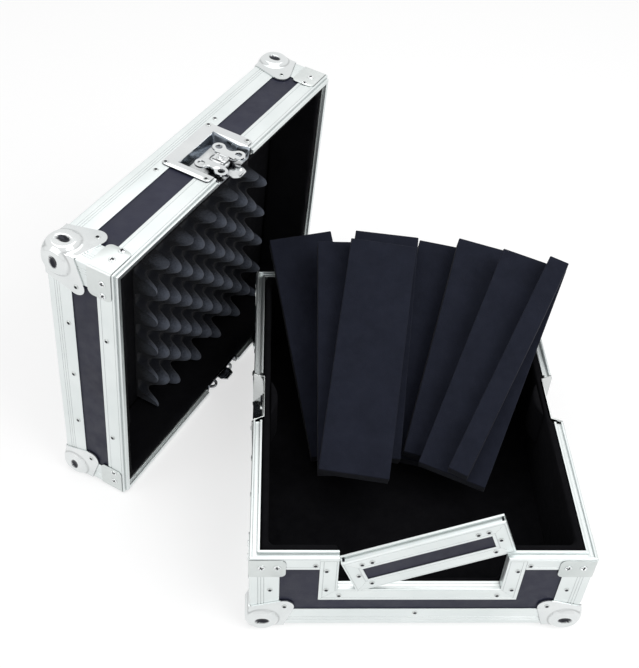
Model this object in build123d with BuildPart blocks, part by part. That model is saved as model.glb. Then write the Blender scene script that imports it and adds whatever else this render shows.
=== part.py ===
from build123d import *
from math import atan2, cos, degrees, radians, sin, sqrt
import os

# A flight case for a CD player or CDs: an open base, its lift-off lid standing on edge beside
# it, a loose front insert and eight foam packing bars fanned out over the back rim.
# Millimetres, +Z up. Each shell is drawn upright with its closed face at z = 0 and its rim at
# z = height, then set down where it stands.

# Overall sizes of the two shells
CASE_WIDTH = 400.0
CASE_DEPTH = 500.0
BASE_HEIGHT = 139.0
LID_HEIGHT = 92.5

# Wall build-up, from outside in: aluminium, laminated board, aluminium, foam lining
GAUGE = 1.5
BOARD = 9.0
LINING = 10.0
FLOOR_LINING = 9.7
LINING_SETBACK = 0.5
FIT = 0.3
WALL = BOARD + 2 * GAUGE
BOARD_IN = GAUGE + BOARD

# Edge extrusions
EDGE_LEG = 33.0
POST_LEG = 35.0
EDGE_ROUND = 2.5
MITRE_GAP = 0.1
RIM_LIP = 15.0
BASE_RIM_FLANGE = 22.0
LID_RIM_FLANGE = 24.0
GROOVE_WIDTH = 6.0
GROOVE_DEPTH = 4.0
TONGUE_WIDTH = 5.4
TONGUE_HEIGHT = 3.6

# Ball corners
BALL_RADIUS = 24.0
BALL_INSET = 15.0
BALL_GAUGE = 1.5
FOOT = 6.0
DIMPLE_RADIUS = 9.0
DIMPLE_DEPTH = 2.0
PETAL_GAUGE = 1.6
PETAL_ROOT = 42.0
PETAL_EAR_AT = 42.0
PETAL_EAR_RADIUS = 12.0
PETAL_TIP = 10.0
BALL_TIP = 8.0
BALL_COVER = 26.0

# Rim corner braces
BRACE_LEG = 42.0
BRACE_HEIGHT = 32.0
BRACE_GAUGE = 1.2
BRACE_DROP = 3.0
BRACE_ROUND = 7.0

# Front opening and the insert that closes it
OPENING_WIDTH = 194.0
OPENING_DEPTH = 63.4
OPENING_FLANGE = 22.0
INSERT_GAP = 1.0
INSERT_FLANGE = 20.0
INSERT_TILT = 20.3
INSERT_YAW = 3.4
INSERT_BACK = 3.6

# Recessed dishes, shared by the latches and the catches
DISH_LENGTH = 106.0
DISH_FAR = 73.0
DISH_NEAR = 4.0
DISH_CORNER = 6.0
POCKET_HALF = 40.0
POCKET_DEEP = 56.0
POCKET_SLOPE = 6.0
POCKET_FLOOR = 13.0
RIM_GAP = 83.0

# Butterfly latch
HUB_FROM_RIM = 20.0
HUB_RADIUS = 12.5
HUB_THICKNESS = 5.0
HUB_UNDER_FACE = 5.0
SHAFT_RADIUS = 1.8
PIN_RADIUS = 1.5
PIN_THROW = 4.0
PIN_SLOT_GAP = 1.0
RUNNING = 0.05
HOOK_HALF_WIDTH = 12.0
HOOK_REACH = 13.6
HOOK_TAIL = 13.0
HOOK_GAUGE = 2.0
HOOK_FLOAT = 0.4
LOBE_RADIUS = 8.5
LOBE_HOLE = 4.5
LOBE_ACROSS = 20.5
LOBE_ALONG = 14.5
WING_GAUGE = 2.5
TONGUE_LAP = 1.0
WING_AXIS = 7.0
BARREL_RADIUS = 1.75
BARREL_HALF = 6.0
LUG_OUTER = 9.0
HINGE_PIN = 0.9

# Catch keeper in each base dish
KEEPER_HALF = 15.0
KEEPER_TALL = 18.0
KEEPER_FROM_RIM = 12.0
KEEPER_LIP = 4.0

# Pads that cover the backs of the catch dishes
PAD_CHORD = 60.0
PAD_PROUD = 9.5
PAD_TALL = 60.0

# Recessed spring handle in the back wall
HANDLE_LENGTH = 170.0
HANDLE_TALL = 78.0
HANDLE_BORDER = 12.0
HANDLE_POCKET = 13.0
HANDLE_CENTRE = 75.0
BAIL_HALF = 58.0
BAIL_DROP = 36.0
BAIL_ROD = 3.0
BAIL_DEPTH = 5.0
GRIP_RADIUS = 5.7
GRIP_HALF = 40.0
GRIP_BORE_GAP = 0.05

# Foam
BAR_LENGTH = 332.0
BAR_WIDTH = 92.0
BAR_THICKNESS = 25.0
NARROW_BAR_WIDTH = 28.0
BAR_LEAN = 24.5
BAR_ROLL = 6.0
BAR_GAP = 0.5
CRATE_PITCH = 56.0
CRATE_BASE = 12.0
CRATE_PEAK = 32.0
CRATE_COLUMNS = 5
CRATE_ROWS = 5
CRATE_ALONG = -22.0
CRATE_CLEARANCE = 4.0
CRATE_UP = CRATE_ROWS * CRATE_PITCH / 2 + CRATE_CLEARANCE - (CASE_WIDTH / 2 - WALL - LINING)
CRATE_FOOT = 38.0
CRATE_TIP = 6.0
CRATE_SEAM = 0.05

# Where the lid stands: its heading, and how its rim passes the base's back left corner
LID_HEADING = 60.5
LID_CLEARANCE = 5.0
LID_PAST_CORNER = 154.4

# Foam bars in the fan's layers: layer, left foot corner across and up the lean from where the
# lean meets the floor, turn in degrees
BARS = {
    "foam_bar_1": (0, -122.0, 14.5, -10.5, BAR_WIDTH),
    "foam_bar_2": (0, -30.0, 20.5, 11.9, BAR_WIDTH),
    "foam_bar_3": (1, -96.0, 16.5, 6.6, BAR_WIDTH),
    "foam_bar_4": (1, -1.0, 17.5, 16.3, BAR_WIDTH),
    "foam_bar_5": (2, -116.0, -17.5, 0.3, BAR_WIDTH),
    "foam_bar_7": (3, -117.0, -20.5, 8.3, BAR_WIDTH),
}
# Two bars rolled to the left, with one edge on the fan and the other on the right rim
ROLLED_FOOT = (17.1, -3.5)
ROLLED_LAYER = 2
ROLLED_BARS = {
    "foam_bar_6": (0, 0.0, 0.0, 23.5, BAR_WIDTH),
    "foam_bar_8": (1, 36.2, -14.6, 27.8, NARROW_BAR_WIDTH),
}

QUADRANTS = [(1, 1), (-1, 1), (-1, -1), (1, -1)]
LOW = (Align.CENTER, Align.CENTER, Align.MIN)

# Worked-out sizes
BASE_SEAT = GROOVE_DEPTH + GAUGE
LID_SEAT = GAUGE
SILL = BASE_HEIGHT - OPENING_DEPTH
FLOOR_TOP = BOARD_IN + FLOOR_LINING
FLAT_RADIUS = sqrt(BALL_RADIUS**2 - (BALL_INSET + FOOT) ** 2)
INSERT_LENGTH = OPENING_WIDTH - 2 * INSERT_GAP
INSERT_HEIGHT = OPENING_DEPTH - 2 * FIT
LINING_CUT = RIM_LIP / 3
FAN_EDGE = CASE_DEPTH / 2 - WALL - LINING
FAN_TOP = FOOT + BASE_HEIGHT - LINING_SETBACK + BAR_GAP
FAN_RUN = (FAN_TOP - FOOT - FLOOR_TOP) / sin(radians(BAR_LEAN))


def edge_plane(side, width, depth, height):
    """Plane across one of the four box edges: x runs inward, y up, z along the edge."""
    along = [Vector(1, 0, 0), Vector(0, 1, 0), Vector(-1, 0, 0), Vector(0, -1, 0)][side]
    inward = [Vector(0, 1, 0), Vector(-1, 0, 0), Vector(0, -1, 0), Vector(1, 0, 0)][side]
    reach = [depth, width, depth, width][side] / 2
    return Plane(origin=inward * -reach + Vector(0, 0, height), x_dir=inward, z_dir=along)


def wall_plane(sign, half, height):
    """Plane on the outside of a side wall: x along the wall, y up to the rim, z outward."""
    return Plane(origin=(sign * half, 0, height), x_dir=(0, sign, 0), z_dir=(sign, 0, 0))


def mitred_bar(plane, profile, length, taper):
    """Extrusion along the plane's z with 45 degree ends; taper says which way they shorten."""
    slant = plane.x_dir * taper[0] + plane.y_dir * taper[1]
    spare = 2 * EDGE_LEG
    with BuildPart() as bar:
        with BuildSketch(plane):
            with BuildLine():
                Polyline(*profile, close=True)
            make_face()
        extrude(amount=length / 2 + spare, both=True)
        end = plane.origin + plane.z_dir * (length / 2 - MITRE_GAP)
        start = plane.origin - plane.z_dir * (length / 2 - MITRE_GAP)
        split(bisect_by=Plane(origin=end, z_dir=slant - plane.z_dir), keep=Keep.TOP)
        split(bisect_by=Plane(origin=start, z_dir=slant + plane.z_dir), keep=Keep.TOP)
    return bar.part


def angle_profile(leg):
    """Equal angle, its outer corner at the origin."""
    return [(0, 0), (leg, 0), (leg, GAUGE), (GAUGE, GAUGE), (GAUGE, leg), (0, leg)]


def groove_profile(flange):
    """Rim extrusion with a groove: outer flange, grooved top and inner lip over the board."""
    near = (WALL - GROOVE_WIDTH) / 2
    far = WALL - near
    under = -GROOVE_DEPTH - GAUGE
    return [
        (0, -flange),
        (0, 0),
        (near, 0),
        (near, -GROOVE_DEPTH),
        (far, -GROOVE_DEPTH),
        (far, 0),
        (WALL, 0),
        (WALL, -RIM_LIP),
        (BOARD_IN, -RIM_LIP),
        (BOARD_IN, under),
        (GAUGE, under),
        (GAUGE, -flange),
    ]


def tongue_profile(flange):
    """Rim extrusion with a tongue that drops into the groove of the base rim."""
    near = (WALL - TONGUE_WIDTH) / 2
    far = WALL - near
    return [
        (0, -flange),
        (0, 0),
        (near, 0),
        (near, TONGUE_HEIGHT),
        (far, TONGUE_HEIGHT),
        (far, 0),
        (WALL, 0),
        (WALL, -RIM_LIP),
        (BOARD_IN, -RIM_LIP),
        (BOARD_IN, -GAUGE),
        (GAUGE, -GAUGE),
        (GAUGE, -flange),
    ]


def channel_profile(flange):
    """Plain channel over a board's cut edge."""
    return [
        (0, -flange),
        (0, 0),
        (WALL, 0),
        (WALL, -RIM_LIP),
        (BOARD_IN, -RIM_LIP),
        (BOARD_IN, -GAUGE),
        (GAUGE, -GAUGE),
        (GAUGE, -flange),
    ]


def face_board():
    """Board of the closed face, its corners relieved for the ball corners."""
    relief = 2 * (BALL_TIP + FIT)
    with BuildPart() as board:
        with Locations((0, 0, GAUGE)):
            Box(CASE_WIDTH - 2 * GAUGE, CASE_DEPTH - 2 * GAUGE, BOARD, align=LOW)
        with Locations(*[(sx * CASE_WIDTH / 2, sy * CASE_DEPTH / 2, 0) for sx, sy in QUADRANTS]):
            Box(relief, relief, relief, mode=Mode.SUBTRACT)
    return board.part


def side_board(sign, height, seat):
    """Side wall board with the cut-out that takes a dish."""
    notch = 2 * (POCKET_HALF + GAUGE) + 2 * FIT
    with BuildPart() as board:
        with Locations((sign * (CASE_WIDTH / 2 - GAUGE - BOARD / 2), 0, BOARD_IN)):
            Box(BOARD, CASE_DEPTH - 2 * GAUGE, height - seat - BOARD_IN, align=LOW)
        with Locations((sign * CASE_WIDTH / 2, 0, height)):
            Box(4 * WALL, notch, 2 * (POCKET_DEEP + GAUGE + FIT), mode=Mode.SUBTRACT)
    return board.part


def end_board(sign, height, seat):
    """Front or back wall board, between the side boards."""
    with BuildPart() as board:
        with Locations((0, sign * (CASE_DEPTH / 2 - GAUGE - BOARD / 2), BOARD_IN)):
            Box(CASE_WIDTH - 2 * BOARD_IN, BOARD, height - seat - BOARD_IN, align=LOW)
    return board.part


def front_board():
    """Front wall board of the base, cut down in the middle for the opening."""
    with BuildPart() as board:
        add(end_board(-1, BASE_HEIGHT, BASE_SEAT))
        with Locations((0, -CASE_DEPTH / 2, SILL - GAUGE)):
            Box(OPENING_WIDTH + 2 * GAUGE, 4 * WALL, BASE_HEIGHT, align=LOW, mode=Mode.SUBTRACT)
    return board.part


def back_board():
    """Back wall board of the base with the cut-out for the handle's pocket."""
    pocket = HANDLE_LENGTH - 2 * HANDLE_BORDER + 2 * GAUGE + 2 * FIT
    tall = HANDLE_TALL - 2 * HANDLE_BORDER + 2 * GAUGE + 2 * FIT
    with BuildPart() as board:
        add(end_board(1, BASE_HEIGHT, BASE_SEAT))
        with Locations((0, CASE_DEPTH / 2, HANDLE_CENTRE)):
            Box(pocket, 4 * WALL, tall, mode=Mode.SUBTRACT)
    return board.part


def corner_posts(height, rim_flange):
    """Four upright angles between the closed face's edging and the rim extrusion."""
    low = EDGE_LEG + FIT
    high = height - rim_flange - FIT
    with BuildPart() as posts:
        with BuildSketch(Plane.XY.offset(low)):
            RectangleRounded(CASE_WIDTH, CASE_DEPTH, EDGE_ROUND)
            Rectangle(CASE_WIDTH - 2 * GAUGE, CASE_DEPTH - 2 * GAUGE, mode=Mode.SUBTRACT)
            Rectangle(CASE_WIDTH - 2 * POST_LEG, 2 * CASE_DEPTH, mode=Mode.SUBTRACT)
            Rectangle(2 * CASE_WIDTH, CASE_DEPTH - 2 * POST_LEG, mode=Mode.SUBTRACT)
        extrude(amount=high - low)
    return posts.part


def face_edging():
    """Four angles round the closed face, mitred and cut short under the ball corners."""
    with BuildPart() as edging:
        for side in range(4):
            length = CASE_WIDTH if side % 2 == 0 else CASE_DEPTH
            plane = edge_plane(side, CASE_WIDTH, CASE_DEPTH, 0)
            add(mitred_bar(plane, angle_profile(EDGE_LEG), length, (-1, 0)))
        with Locations(*[(sx * CASE_WIDTH / 2, sy * CASE_DEPTH / 2, 0) for sx, sy in QUADRANTS]):
            Box(2 * BALL_COVER, 2 * BALL_COVER, 4 * EDGE_LEG, mode=Mode.SUBTRACT)
    return edging.part


def rim_bars(sides, height, profile, gap):
    """Mitred rim extrusions on the named sides, cut at mid-length by a gap where one is wanted."""
    with BuildPart() as bars:
        for side in sides:
            length = CASE_WIDTH if side % 2 == 0 else CASE_DEPTH
            plane = edge_plane(side, CASE_WIDTH, CASE_DEPTH, height)
            add(mitred_bar(plane, profile, length, (-1, 0)))
        if gap and sides[0] % 2:
            with Locations((0, 0, height)):
                Box(2 * CASE_WIDTH, gap, 4 * EDGE_LEG, mode=Mode.SUBTRACT)
        elif gap:
            with Locations((0, 0, height)):
                Box(gap, 2 * CASE_DEPTH, 4 * EDGE_LEG, mode=Mode.SUBTRACT)
    return bars.part


def opening_frame():
    """Two jambs and a sill of channel round the front opening, mitred where they meet."""
    front = -CASE_DEPTH / 2
    tall = BASE_HEIGHT - SILL
    profile = channel_profile(OPENING_FLANGE)
    with BuildPart() as frame:
        sill = Plane(origin=(0, front, SILL), x_dir=(0, 1, 0), z_dir=(1, 0, 0))
        add(mitred_bar(sill, profile, OPENING_WIDTH, (0, -1)))
        for sign in (-1, 1):
            middle = (sign * OPENING_WIDTH / 2, front, SILL + tall / 2)
            jamb = Plane(origin=middle, x_dir=(0, 1, 0), z_dir=(0, 0, sign))
            add(mitred_bar(jamb, profile, tall, (0, -1)))
        # The jambs end square under the grooved top of the rim
        under = Plane(origin=(0, 0, BASE_HEIGHT - BASE_SEAT), z_dir=(0, 0, -1))
        split(bisect_by=under, keep=Keep.TOP)
    return frame.part


def front_rim():
    """Front rim extrusion up to the opening, its flange and lip cut back over the jambs."""
    jambs = OPENING_WIDTH + 2 * OPENING_FLANGE + FIT
    high = (Align.CENTER, Align.CENTER, Align.MAX)
    with BuildPart() as rim:
        add(rim_bars([0], BASE_HEIGHT, groove_profile(BASE_RIM_FLANGE), OPENING_WIDTH))
        with Locations((0, -CASE_DEPTH / 2, BASE_HEIGHT - BASE_SEAT)):
            Box(jambs, 4 * WALL, 2 * BASE_RIM_FLANGE, align=high, mode=Mode.SUBTRACT)
    return rim.part


def petal(plane):
    """One plate of a ball corner: square root at the corner and a round riveted ear."""
    with BuildPart() as plate:
        with BuildSketch(plane):
            with BuildLine():
                Polyline((0, 0), (PETAL_ROOT, 0), (PETAL_ROOT, PETAL_ROOT), (0, PETAL_ROOT), close=True)
            make_face()
            with Locations((PETAL_EAR_AT, PETAL_EAR_AT)):
                Circle(PETAL_EAR_RADIUS)
            make_hull()
        extrude(amount=PETAL_GAUGE)
    return plate.part


def one_ball_corner():
    """Pressed steel corner at +x +y: three petals joined to a hollow ball with flattened sides."""
    x = CASE_WIDTH / 2
    y = CASE_DEPTH / 2
    t = PETAL_GAUGE
    centre = (x - BALL_INSET, y - BALL_INSET, BALL_INSET)
    planes = [
        Plane(origin=(x, y + t, -t), x_dir=(0, 0, 1), z_dir=(1, 0, 0)),
        Plane(origin=(x + t, y, -t), x_dir=(-1, 0, 0), z_dir=(0, 1, 0)),
        Plane(origin=(x + t, y + t, 0), x_dir=(0, -1, 0), z_dir=(0, 0, -1)),
    ]
    flats = BALL_INSET + FOOT
    hollow = flats - BALL_GAUGE - DIMPLE_DEPTH
    dish_radius = (DIMPLE_RADIUS**2 + DIMPLE_DEPTH**2) / (2 * DIMPLE_DEPTH)
    reach = flats + dish_radius - DIMPLE_DEPTH
    keep_high = (Align.MAX, Align.MAX, Align.MIN)
    big = 4 * BALL_RADIUS
    with BuildPart() as inner:
        with Locations(centre):
            Sphere(BALL_RADIUS - BALL_GAUGE)
        with Locations((centre[0] + hollow, centre[1] + hollow, centre[2] - hollow)):
            Box(big, big, big, align=keep_high, mode=Mode.INTERSECT)
    with BuildPart() as ball:
        with Locations(centre):
            Sphere(BALL_RADIUS)
        with Locations((x + FOOT, y + FOOT, -FOOT)):
            Box(big, big, big, align=keep_high, mode=Mode.INTERSECT)
        dishes = [(reach, 0, 0), (0, reach, 0), (0, 0, -reach)]
        with Locations(*[(centre[0] + a, centre[1] + b, centre[2] + c) for a, b, c in dishes]):
            Sphere(dish_radius, mode=Mode.SUBTRACT)
    with BuildPart() as corner:
        for plane in planes:
            add(petal(plane))
        with Locations((x + t, y + t, -t)):
            Box(PETAL_TIP, PETAL_TIP, PETAL_TIP, align=keep_high, mode=Mode.SUBTRACT)
        add(ball.part)
        add(inner.part, mode=Mode.SUBTRACT)
        # Nothing reaches into the case except at the relieved tip
        with Locations((x, y, BALL_TIP)):
            Box(big, big, big, align=keep_high, mode=Mode.SUBTRACT)
        with Locations((x - BALL_TIP, y, 0)):
            Box(big, big, big, align=keep_high, mode=Mode.SUBTRACT)
        with Locations((x, y - BALL_TIP, 0)):
            Box(big, big, big, align=keep_high, mode=Mode.SUBTRACT)
    return corner.part


def ball_corners():
    """The four ball corners of a closed face."""
    with BuildPart() as corners:
        add(one_ball_corner())
        mirror(about=Plane.YZ)
        mirror(about=Plane.XZ)
    return corners.part


def rim_braces(height):
    """Four bent steel braces screwed over the corners of the rim."""
    t = BRACE_GAUGE
    with BuildPart() as braces:
        with BuildSketch(Plane.XY.offset(height - BRACE_DROP - BRACE_HEIGHT)):
            RectangleRounded(CASE_WIDTH + 2 * t, CASE_DEPTH + 2 * t, EDGE_ROUND + t)
            Rectangle(CASE_WIDTH, CASE_DEPTH, mode=Mode.SUBTRACT)
            Rectangle(CASE_WIDTH - 2 * BRACE_LEG, 2 * CASE_DEPTH, mode=Mode.SUBTRACT)
            Rectangle(2 * CASE_WIDTH, CASE_DEPTH - 2 * BRACE_LEG, mode=Mode.SUBTRACT)
        extrude(amount=BRACE_HEIGHT)
        tips = braces.edges().filter_by(lambda e: abs(e.length - t) < t / 100)
        fillet(tips, radius=BRACE_ROUND)
    return braces.part


def dish(sign, height, bored):
    """Pressed dish in a side wall: flat flange outside, sloped pocket open at the rim."""
    plane = wall_plane(sign, CASE_WIDTH / 2, height)
    long = DISH_LENGTH
    tall = DISH_FAR - DISH_NEAR
    mid = -(DISH_FAR + DISH_NEAR) / 2
    open_top = POCKET_DEEP
    low = (Align.CENTER, Align.MIN)
    with BuildPart() as shell:
        with BuildSketch(plane):
            with Locations((0, mid)):
                RectangleRounded(long, tall, DISH_CORNER)
        extrude(amount=GAUGE)
        for depth, grow in ((0, 0), (POCKET_FLOOR + GAUGE, POCKET_SLOPE)):
            with BuildSketch(plane.offset(-depth)):
                with Locations((0, -POCKET_DEEP - GAUGE + grow)):
                    wide = 2 * (POCKET_HALF + GAUGE - grow)
                    Rectangle(wide, POCKET_DEEP + GAUGE - grow - FIT, align=low)
        loft()
        for depth, grow in ((-GAUGE, 0), (POCKET_FLOOR, POCKET_SLOPE)):
            with BuildSketch(plane.offset(-depth)):
                with Locations((0, -POCKET_DEEP + grow)):
                    Rectangle(2 * (POCKET_HALF - grow), POCKET_DEEP - grow + open_top, align=low)
        loft(mode=Mode.SUBTRACT)
        if bored:
            with BuildSketch(plane.offset(-POCKET_FLOOR)):
                with Locations((0, -HUB_FROM_RIM)):
                    Circle(SHAFT_RADIUS + RUNNING)
            extrude(amount=-2 * GAUGE, mode=Mode.SUBTRACT)
    return shell.part


def latch_hook(sign, height):
    """Flat hook that slides under the hub, with a T-shaped window for the shaft and crank pin."""
    plane = wall_plane(sign, CASE_WIDTH / 2, height)
    low = (Align.CENTER, Align.MIN)
    travel = 2 * PIN_THROW
    clear = 0.2
    with BuildPart() as hook:
        with BuildSketch(plane.offset(-POCKET_FLOOR + HOOK_FLOAT)):
            with BuildLine():
                Polyline(
                    (-HOOK_HALF_WIDTH, -HUB_FROM_RIM - HOOK_TAIL),
                    (HOOK_HALF_WIDTH, -HUB_FROM_RIM - HOOK_TAIL),
                    (HOOK_HALF_WIDTH, HOOK_REACH / 2),
                    (HOOK_HALF_WIDTH * 2 / 3, HOOK_REACH),
                    (-HOOK_HALF_WIDTH * 2 / 3, HOOK_REACH),
                    (-HOOK_HALF_WIDTH, HOOK_REACH / 2),
                    close=True,
                )
            make_face()
            with Locations((0, -HUB_FROM_RIM - SHAFT_RADIUS - clear)):
                tall = travel + 2 * (SHAFT_RADIUS + clear)
                Rectangle(2 * (SHAFT_RADIUS + clear), tall, align=low, mode=Mode.SUBTRACT)
            with Locations((0, -HUB_FROM_RIM + PIN_THROW)):
                wide = 2 * (PIN_THROW + PIN_RADIUS + clear)
                Rectangle(wide, 2 * (PIN_RADIUS + PIN_SLOT_GAP), mode=Mode.SUBTRACT)
        extrude(amount=HOOK_GAUGE)
        # The turned-in toe that pulls on the keeper
        with BuildSketch(plane.offset(-POCKET_FLOOR + HOOK_FLOAT)):
            with Locations((0, HOOK_REACH - HOOK_GAUGE)):
                Rectangle(HOOK_HALF_WIDTH, HOOK_GAUGE, align=low)
        extrude(amount=2 * HOOK_GAUGE)
    return hook.part


def wing_axis_height():
    """Height of the wing hinge axes above the wall's outer face."""
    return -HUB_UNDER_FACE + BARREL_RADIUS + FIT


def latch_hub(sign, height):
    """Turning hub: disc, shaft in the dish, crank pin under it, and lugs with the hinge pins."""
    plane = wall_plane(sign, CASE_WIDTH / 2, height)
    face = plane.offset(-HUB_UNDER_FACE)
    axis = wing_axis_height()
    with BuildPart() as hub:
        with BuildSketch(face):
            with Locations((0, -HUB_FROM_RIM)):
                Circle(HUB_RADIUS)
        extrude(amount=-HUB_THICKNESS)
        under = plane.offset(-HUB_UNDER_FACE - HUB_THICKNESS)
        with BuildSketch(under):
            with Locations((0, -HUB_FROM_RIM)):
                Circle(SHAFT_RADIUS)
        extrude(amount=-(POCKET_FLOOR + GAUGE - HUB_UNDER_FACE - HUB_THICKNESS))
        with BuildSketch(under):
            with Locations((0, -HUB_FROM_RIM + PIN_THROW)):
                Circle(PIN_RADIUS)
        extrude(amount=-(POCKET_FLOOR - HOOK_FLOAT - HUB_UNDER_FACE - HUB_THICKNESS))
        # Boss between the wings and a lug at each end of each barrel
        with BuildSketch(face):
            with Locations((0, -HUB_FROM_RIM)):
                Rectangle(2 * (WING_AXIS - BARREL_RADIUS - FIT), 2 * LUG_OUTER)
        extrude(amount=axis + HUB_UNDER_FACE + BARREL_RADIUS)
        for side in (-1, 1):
            for end in (-1, 1):
                mid = end * (LUG_OUTER + BARREL_HALF + FIT) / 2
                thick = LUG_OUTER - BARREL_HALF - FIT
                across = Plane(
                    origin=plane.from_local_coords((side * WING_AXIS, -HUB_FROM_RIM + mid, axis)),
                    x_dir=plane.x_dir,
                    z_dir=plane.y_dir,
                )
                with BuildSketch(across):
                    Circle(BARREL_RADIUS)
                    with Locations((0, (axis + HUB_UNDER_FACE) / 2)):
                        Rectangle(2 * BARREL_RADIUS, axis + HUB_UNDER_FACE)
                    with Locations((-side * BARREL_RADIUS, (axis + HUB_UNDER_FACE) / 2)):
                        Rectangle(2 * BARREL_RADIUS, axis + HUB_UNDER_FACE)
                extrude(amount=thick / 2, both=True)
            pin_plane = Plane(
                origin=plane.from_local_coords((side * WING_AXIS, -HUB_FROM_RIM, axis)),
                x_dir=plane.x_dir,
                z_dir=plane.y_dir,
            )
            with BuildSketch(pin_plane):
                Circle(HINGE_PIN)
            extrude(amount=LUG_OUTER, both=True)
    return hub.part


def latch_wing(sign, height, side):
    """Folding wing: a hinge barrel and a plate with two round lobes, each with a finger hole."""
    plane = wall_plane(sign, CASE_WIDTH / 2, height)
    axis = wing_axis_height()
    start = WING_AXIS + 2 * BARREL_RADIUS - HINGE_PIN
    lift = axis - WING_GAUGE / 2
    lobes = [(side * LOBE_ACROSS, -HUB_FROM_RIM + end * LOBE_ALONG) for end in (-1, 1)]
    waist = LOBE_ACROSS + LOBE_RADIUS / 2 - start
    with BuildPart() as wing:
        with BuildSketch(plane.offset(lift)):
            with Locations(*lobes):
                Circle(LOBE_RADIUS)
            with Locations((side * (start + waist / 2), -HUB_FROM_RIM)):
                Rectangle(waist, 2 * LOBE_ALONG)
            with Locations((side * (LOBE_ACROSS + LOBE_RADIUS * 1.1), -HUB_FROM_RIM)):
                Circle(LOBE_RADIUS, mode=Mode.SUBTRACT)
            with Locations(*lobes):
                Circle(LOBE_HOLE, mode=Mode.SUBTRACT)
        extrude(amount=WING_GAUGE)
        # Tongue that joins the plate to the barrel
        with BuildSketch(plane.offset(lift)):
            with Locations((side * (WING_AXIS + start) / 2, -HUB_FROM_RIM)):
                Rectangle(start - WING_AXIS + TONGUE_LAP, 2 * BARREL_HALF)
        extrude(amount=WING_GAUGE)
        barrel = Plane(
            origin=plane.from_local_coords((side * WING_AXIS, -HUB_FROM_RIM, axis)),
            x_dir=plane.x_dir,
            z_dir=plane.y_dir,
        )
        with BuildSketch(barrel):
            Circle(BARREL_RADIUS)
        extrude(amount=BARREL_HALF, both=True)
        with BuildSketch(barrel):
            Circle(HINGE_PIN + RUNNING)
        extrude(amount=2 * LOBE_ALONG, both=True, mode=Mode.SUBTRACT)
    return wing.part


def catch_keeper(sign):
    """Keeper plate on the floor of a base dish, with a lip that the hook pulls up on."""
    plane = wall_plane(sign, CASE_WIDTH / 2, BASE_HEIGHT)
    high = (Align.CENTER, Align.MAX)
    with BuildPart() as keeper:
        with BuildSketch(plane.offset(-POCKET_FLOOR)):
            with Locations((0, -KEEPER_FROM_RIM)):
                Rectangle(2 * KEEPER_HALF, KEEPER_TALL, align=high)
        extrude(amount=GAUGE)
        with BuildSketch(plane.offset(-POCKET_FLOOR)):
            with Locations((0, -KEEPER_FROM_RIM)):
                Rectangle(2 * HOOK_HALF_WIDTH, GAUGE, align=high)
        extrude(amount=KEEPER_LIP)
    return keeper.part


def wall_lining(height):
    """Ring of foam glued inside the walls, rebated behind the rim lip and round the dishes."""
    outer_w = CASE_WIDTH - 2 * (BOARD_IN + FIT)
    outer_d = CASE_DEPTH - 2 * (BOARD_IN + FIT)
    top_w = CASE_WIDTH - 2 * (WALL + FIT)
    top_d = CASE_DEPTH - 2 * (WALL + FIT)
    inner_w = CASE_WIDTH - 2 * (WALL + LINING)
    inner_d = CASE_DEPTH - 2 * (WALL + LINING)
    low = FLOOR_TOP + FIT
    top = height - LINING_SETBACK
    step = height - RIM_LIP - FIT
    pocket = 2 * (POCKET_HALF + GAUGE - POCKET_SLOPE + 2 * FIT + GAUGE)
    with BuildPart() as ring:
        with BuildSketch(Plane.XY.offset(low)):
            Rectangle(outer_w, outer_d)
        extrude(amount=step - low)
        with BuildSketch(Plane.XY.offset(step)):
            Rectangle(top_w, top_d)
        extrude(amount=top - step)
        with BuildSketch(Plane.XY.offset(low)):
            Rectangle(inner_w, inner_d)
        extrude(amount=height, mode=Mode.SUBTRACT)
        for sign in (-1, 1):
            with Locations((sign * CASE_WIDTH / 2, 0, height)):
                deep = 2 * (POCKET_FLOOR + GAUGE + FIT)
                tall = 2 * (POCKET_DEEP + GAUGE + FIT)
                Box(deep, pocket, tall, mode=Mode.SUBTRACT)
    return ring.part


def base_lining():
    """Wall lining of the base, cut away behind the front opening and the handle pocket."""
    with BuildPart() as ring:
        add(wall_lining(BASE_HEIGHT))
        with Locations((0, -CASE_DEPTH / 2, SILL - LINING_CUT)):
            Box(OPENING_WIDTH + 2 * FIT, 4 * WALL, BASE_HEIGHT, align=LOW, mode=Mode.SUBTRACT)
        pocket = HANDLE_LENGTH - 2 * HANDLE_BORDER + 2 * GAUGE + 2 * FIT
        tall = HANDLE_TALL - 2 * HANDLE_BORDER + 2 * GAUGE + 2 * FIT
        with Locations((0, CASE_DEPTH / 2, HANDLE_CENTRE)):
            Box(pocket, 2 * (HANDLE_POCKET + GAUGE + FIT), tall, mode=Mode.SUBTRACT)
        jamb = OPENING_WIDTH + 2 * RIM_LIP + 2 * FIT
        with Locations((0, -CASE_DEPTH / 2, SILL - RIM_LIP - FIT)):
            Box(jamb, 2 * (WALL + FIT), BASE_HEIGHT, align=LOW, mode=Mode.SUBTRACT)
    return ring.part


def floor_lining():
    """Foam sheet on the inside of the closed face."""
    with BuildPart() as sheet:
        with Locations((0, 0, BOARD_IN)):
            wide = CASE_WIDTH - 2 * (BOARD_IN + FIT)
            deep = CASE_DEPTH - 2 * (BOARD_IN + FIT)
            Box(wide, deep, FLOOR_LINING, align=LOW)
    return sheet.part


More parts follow.
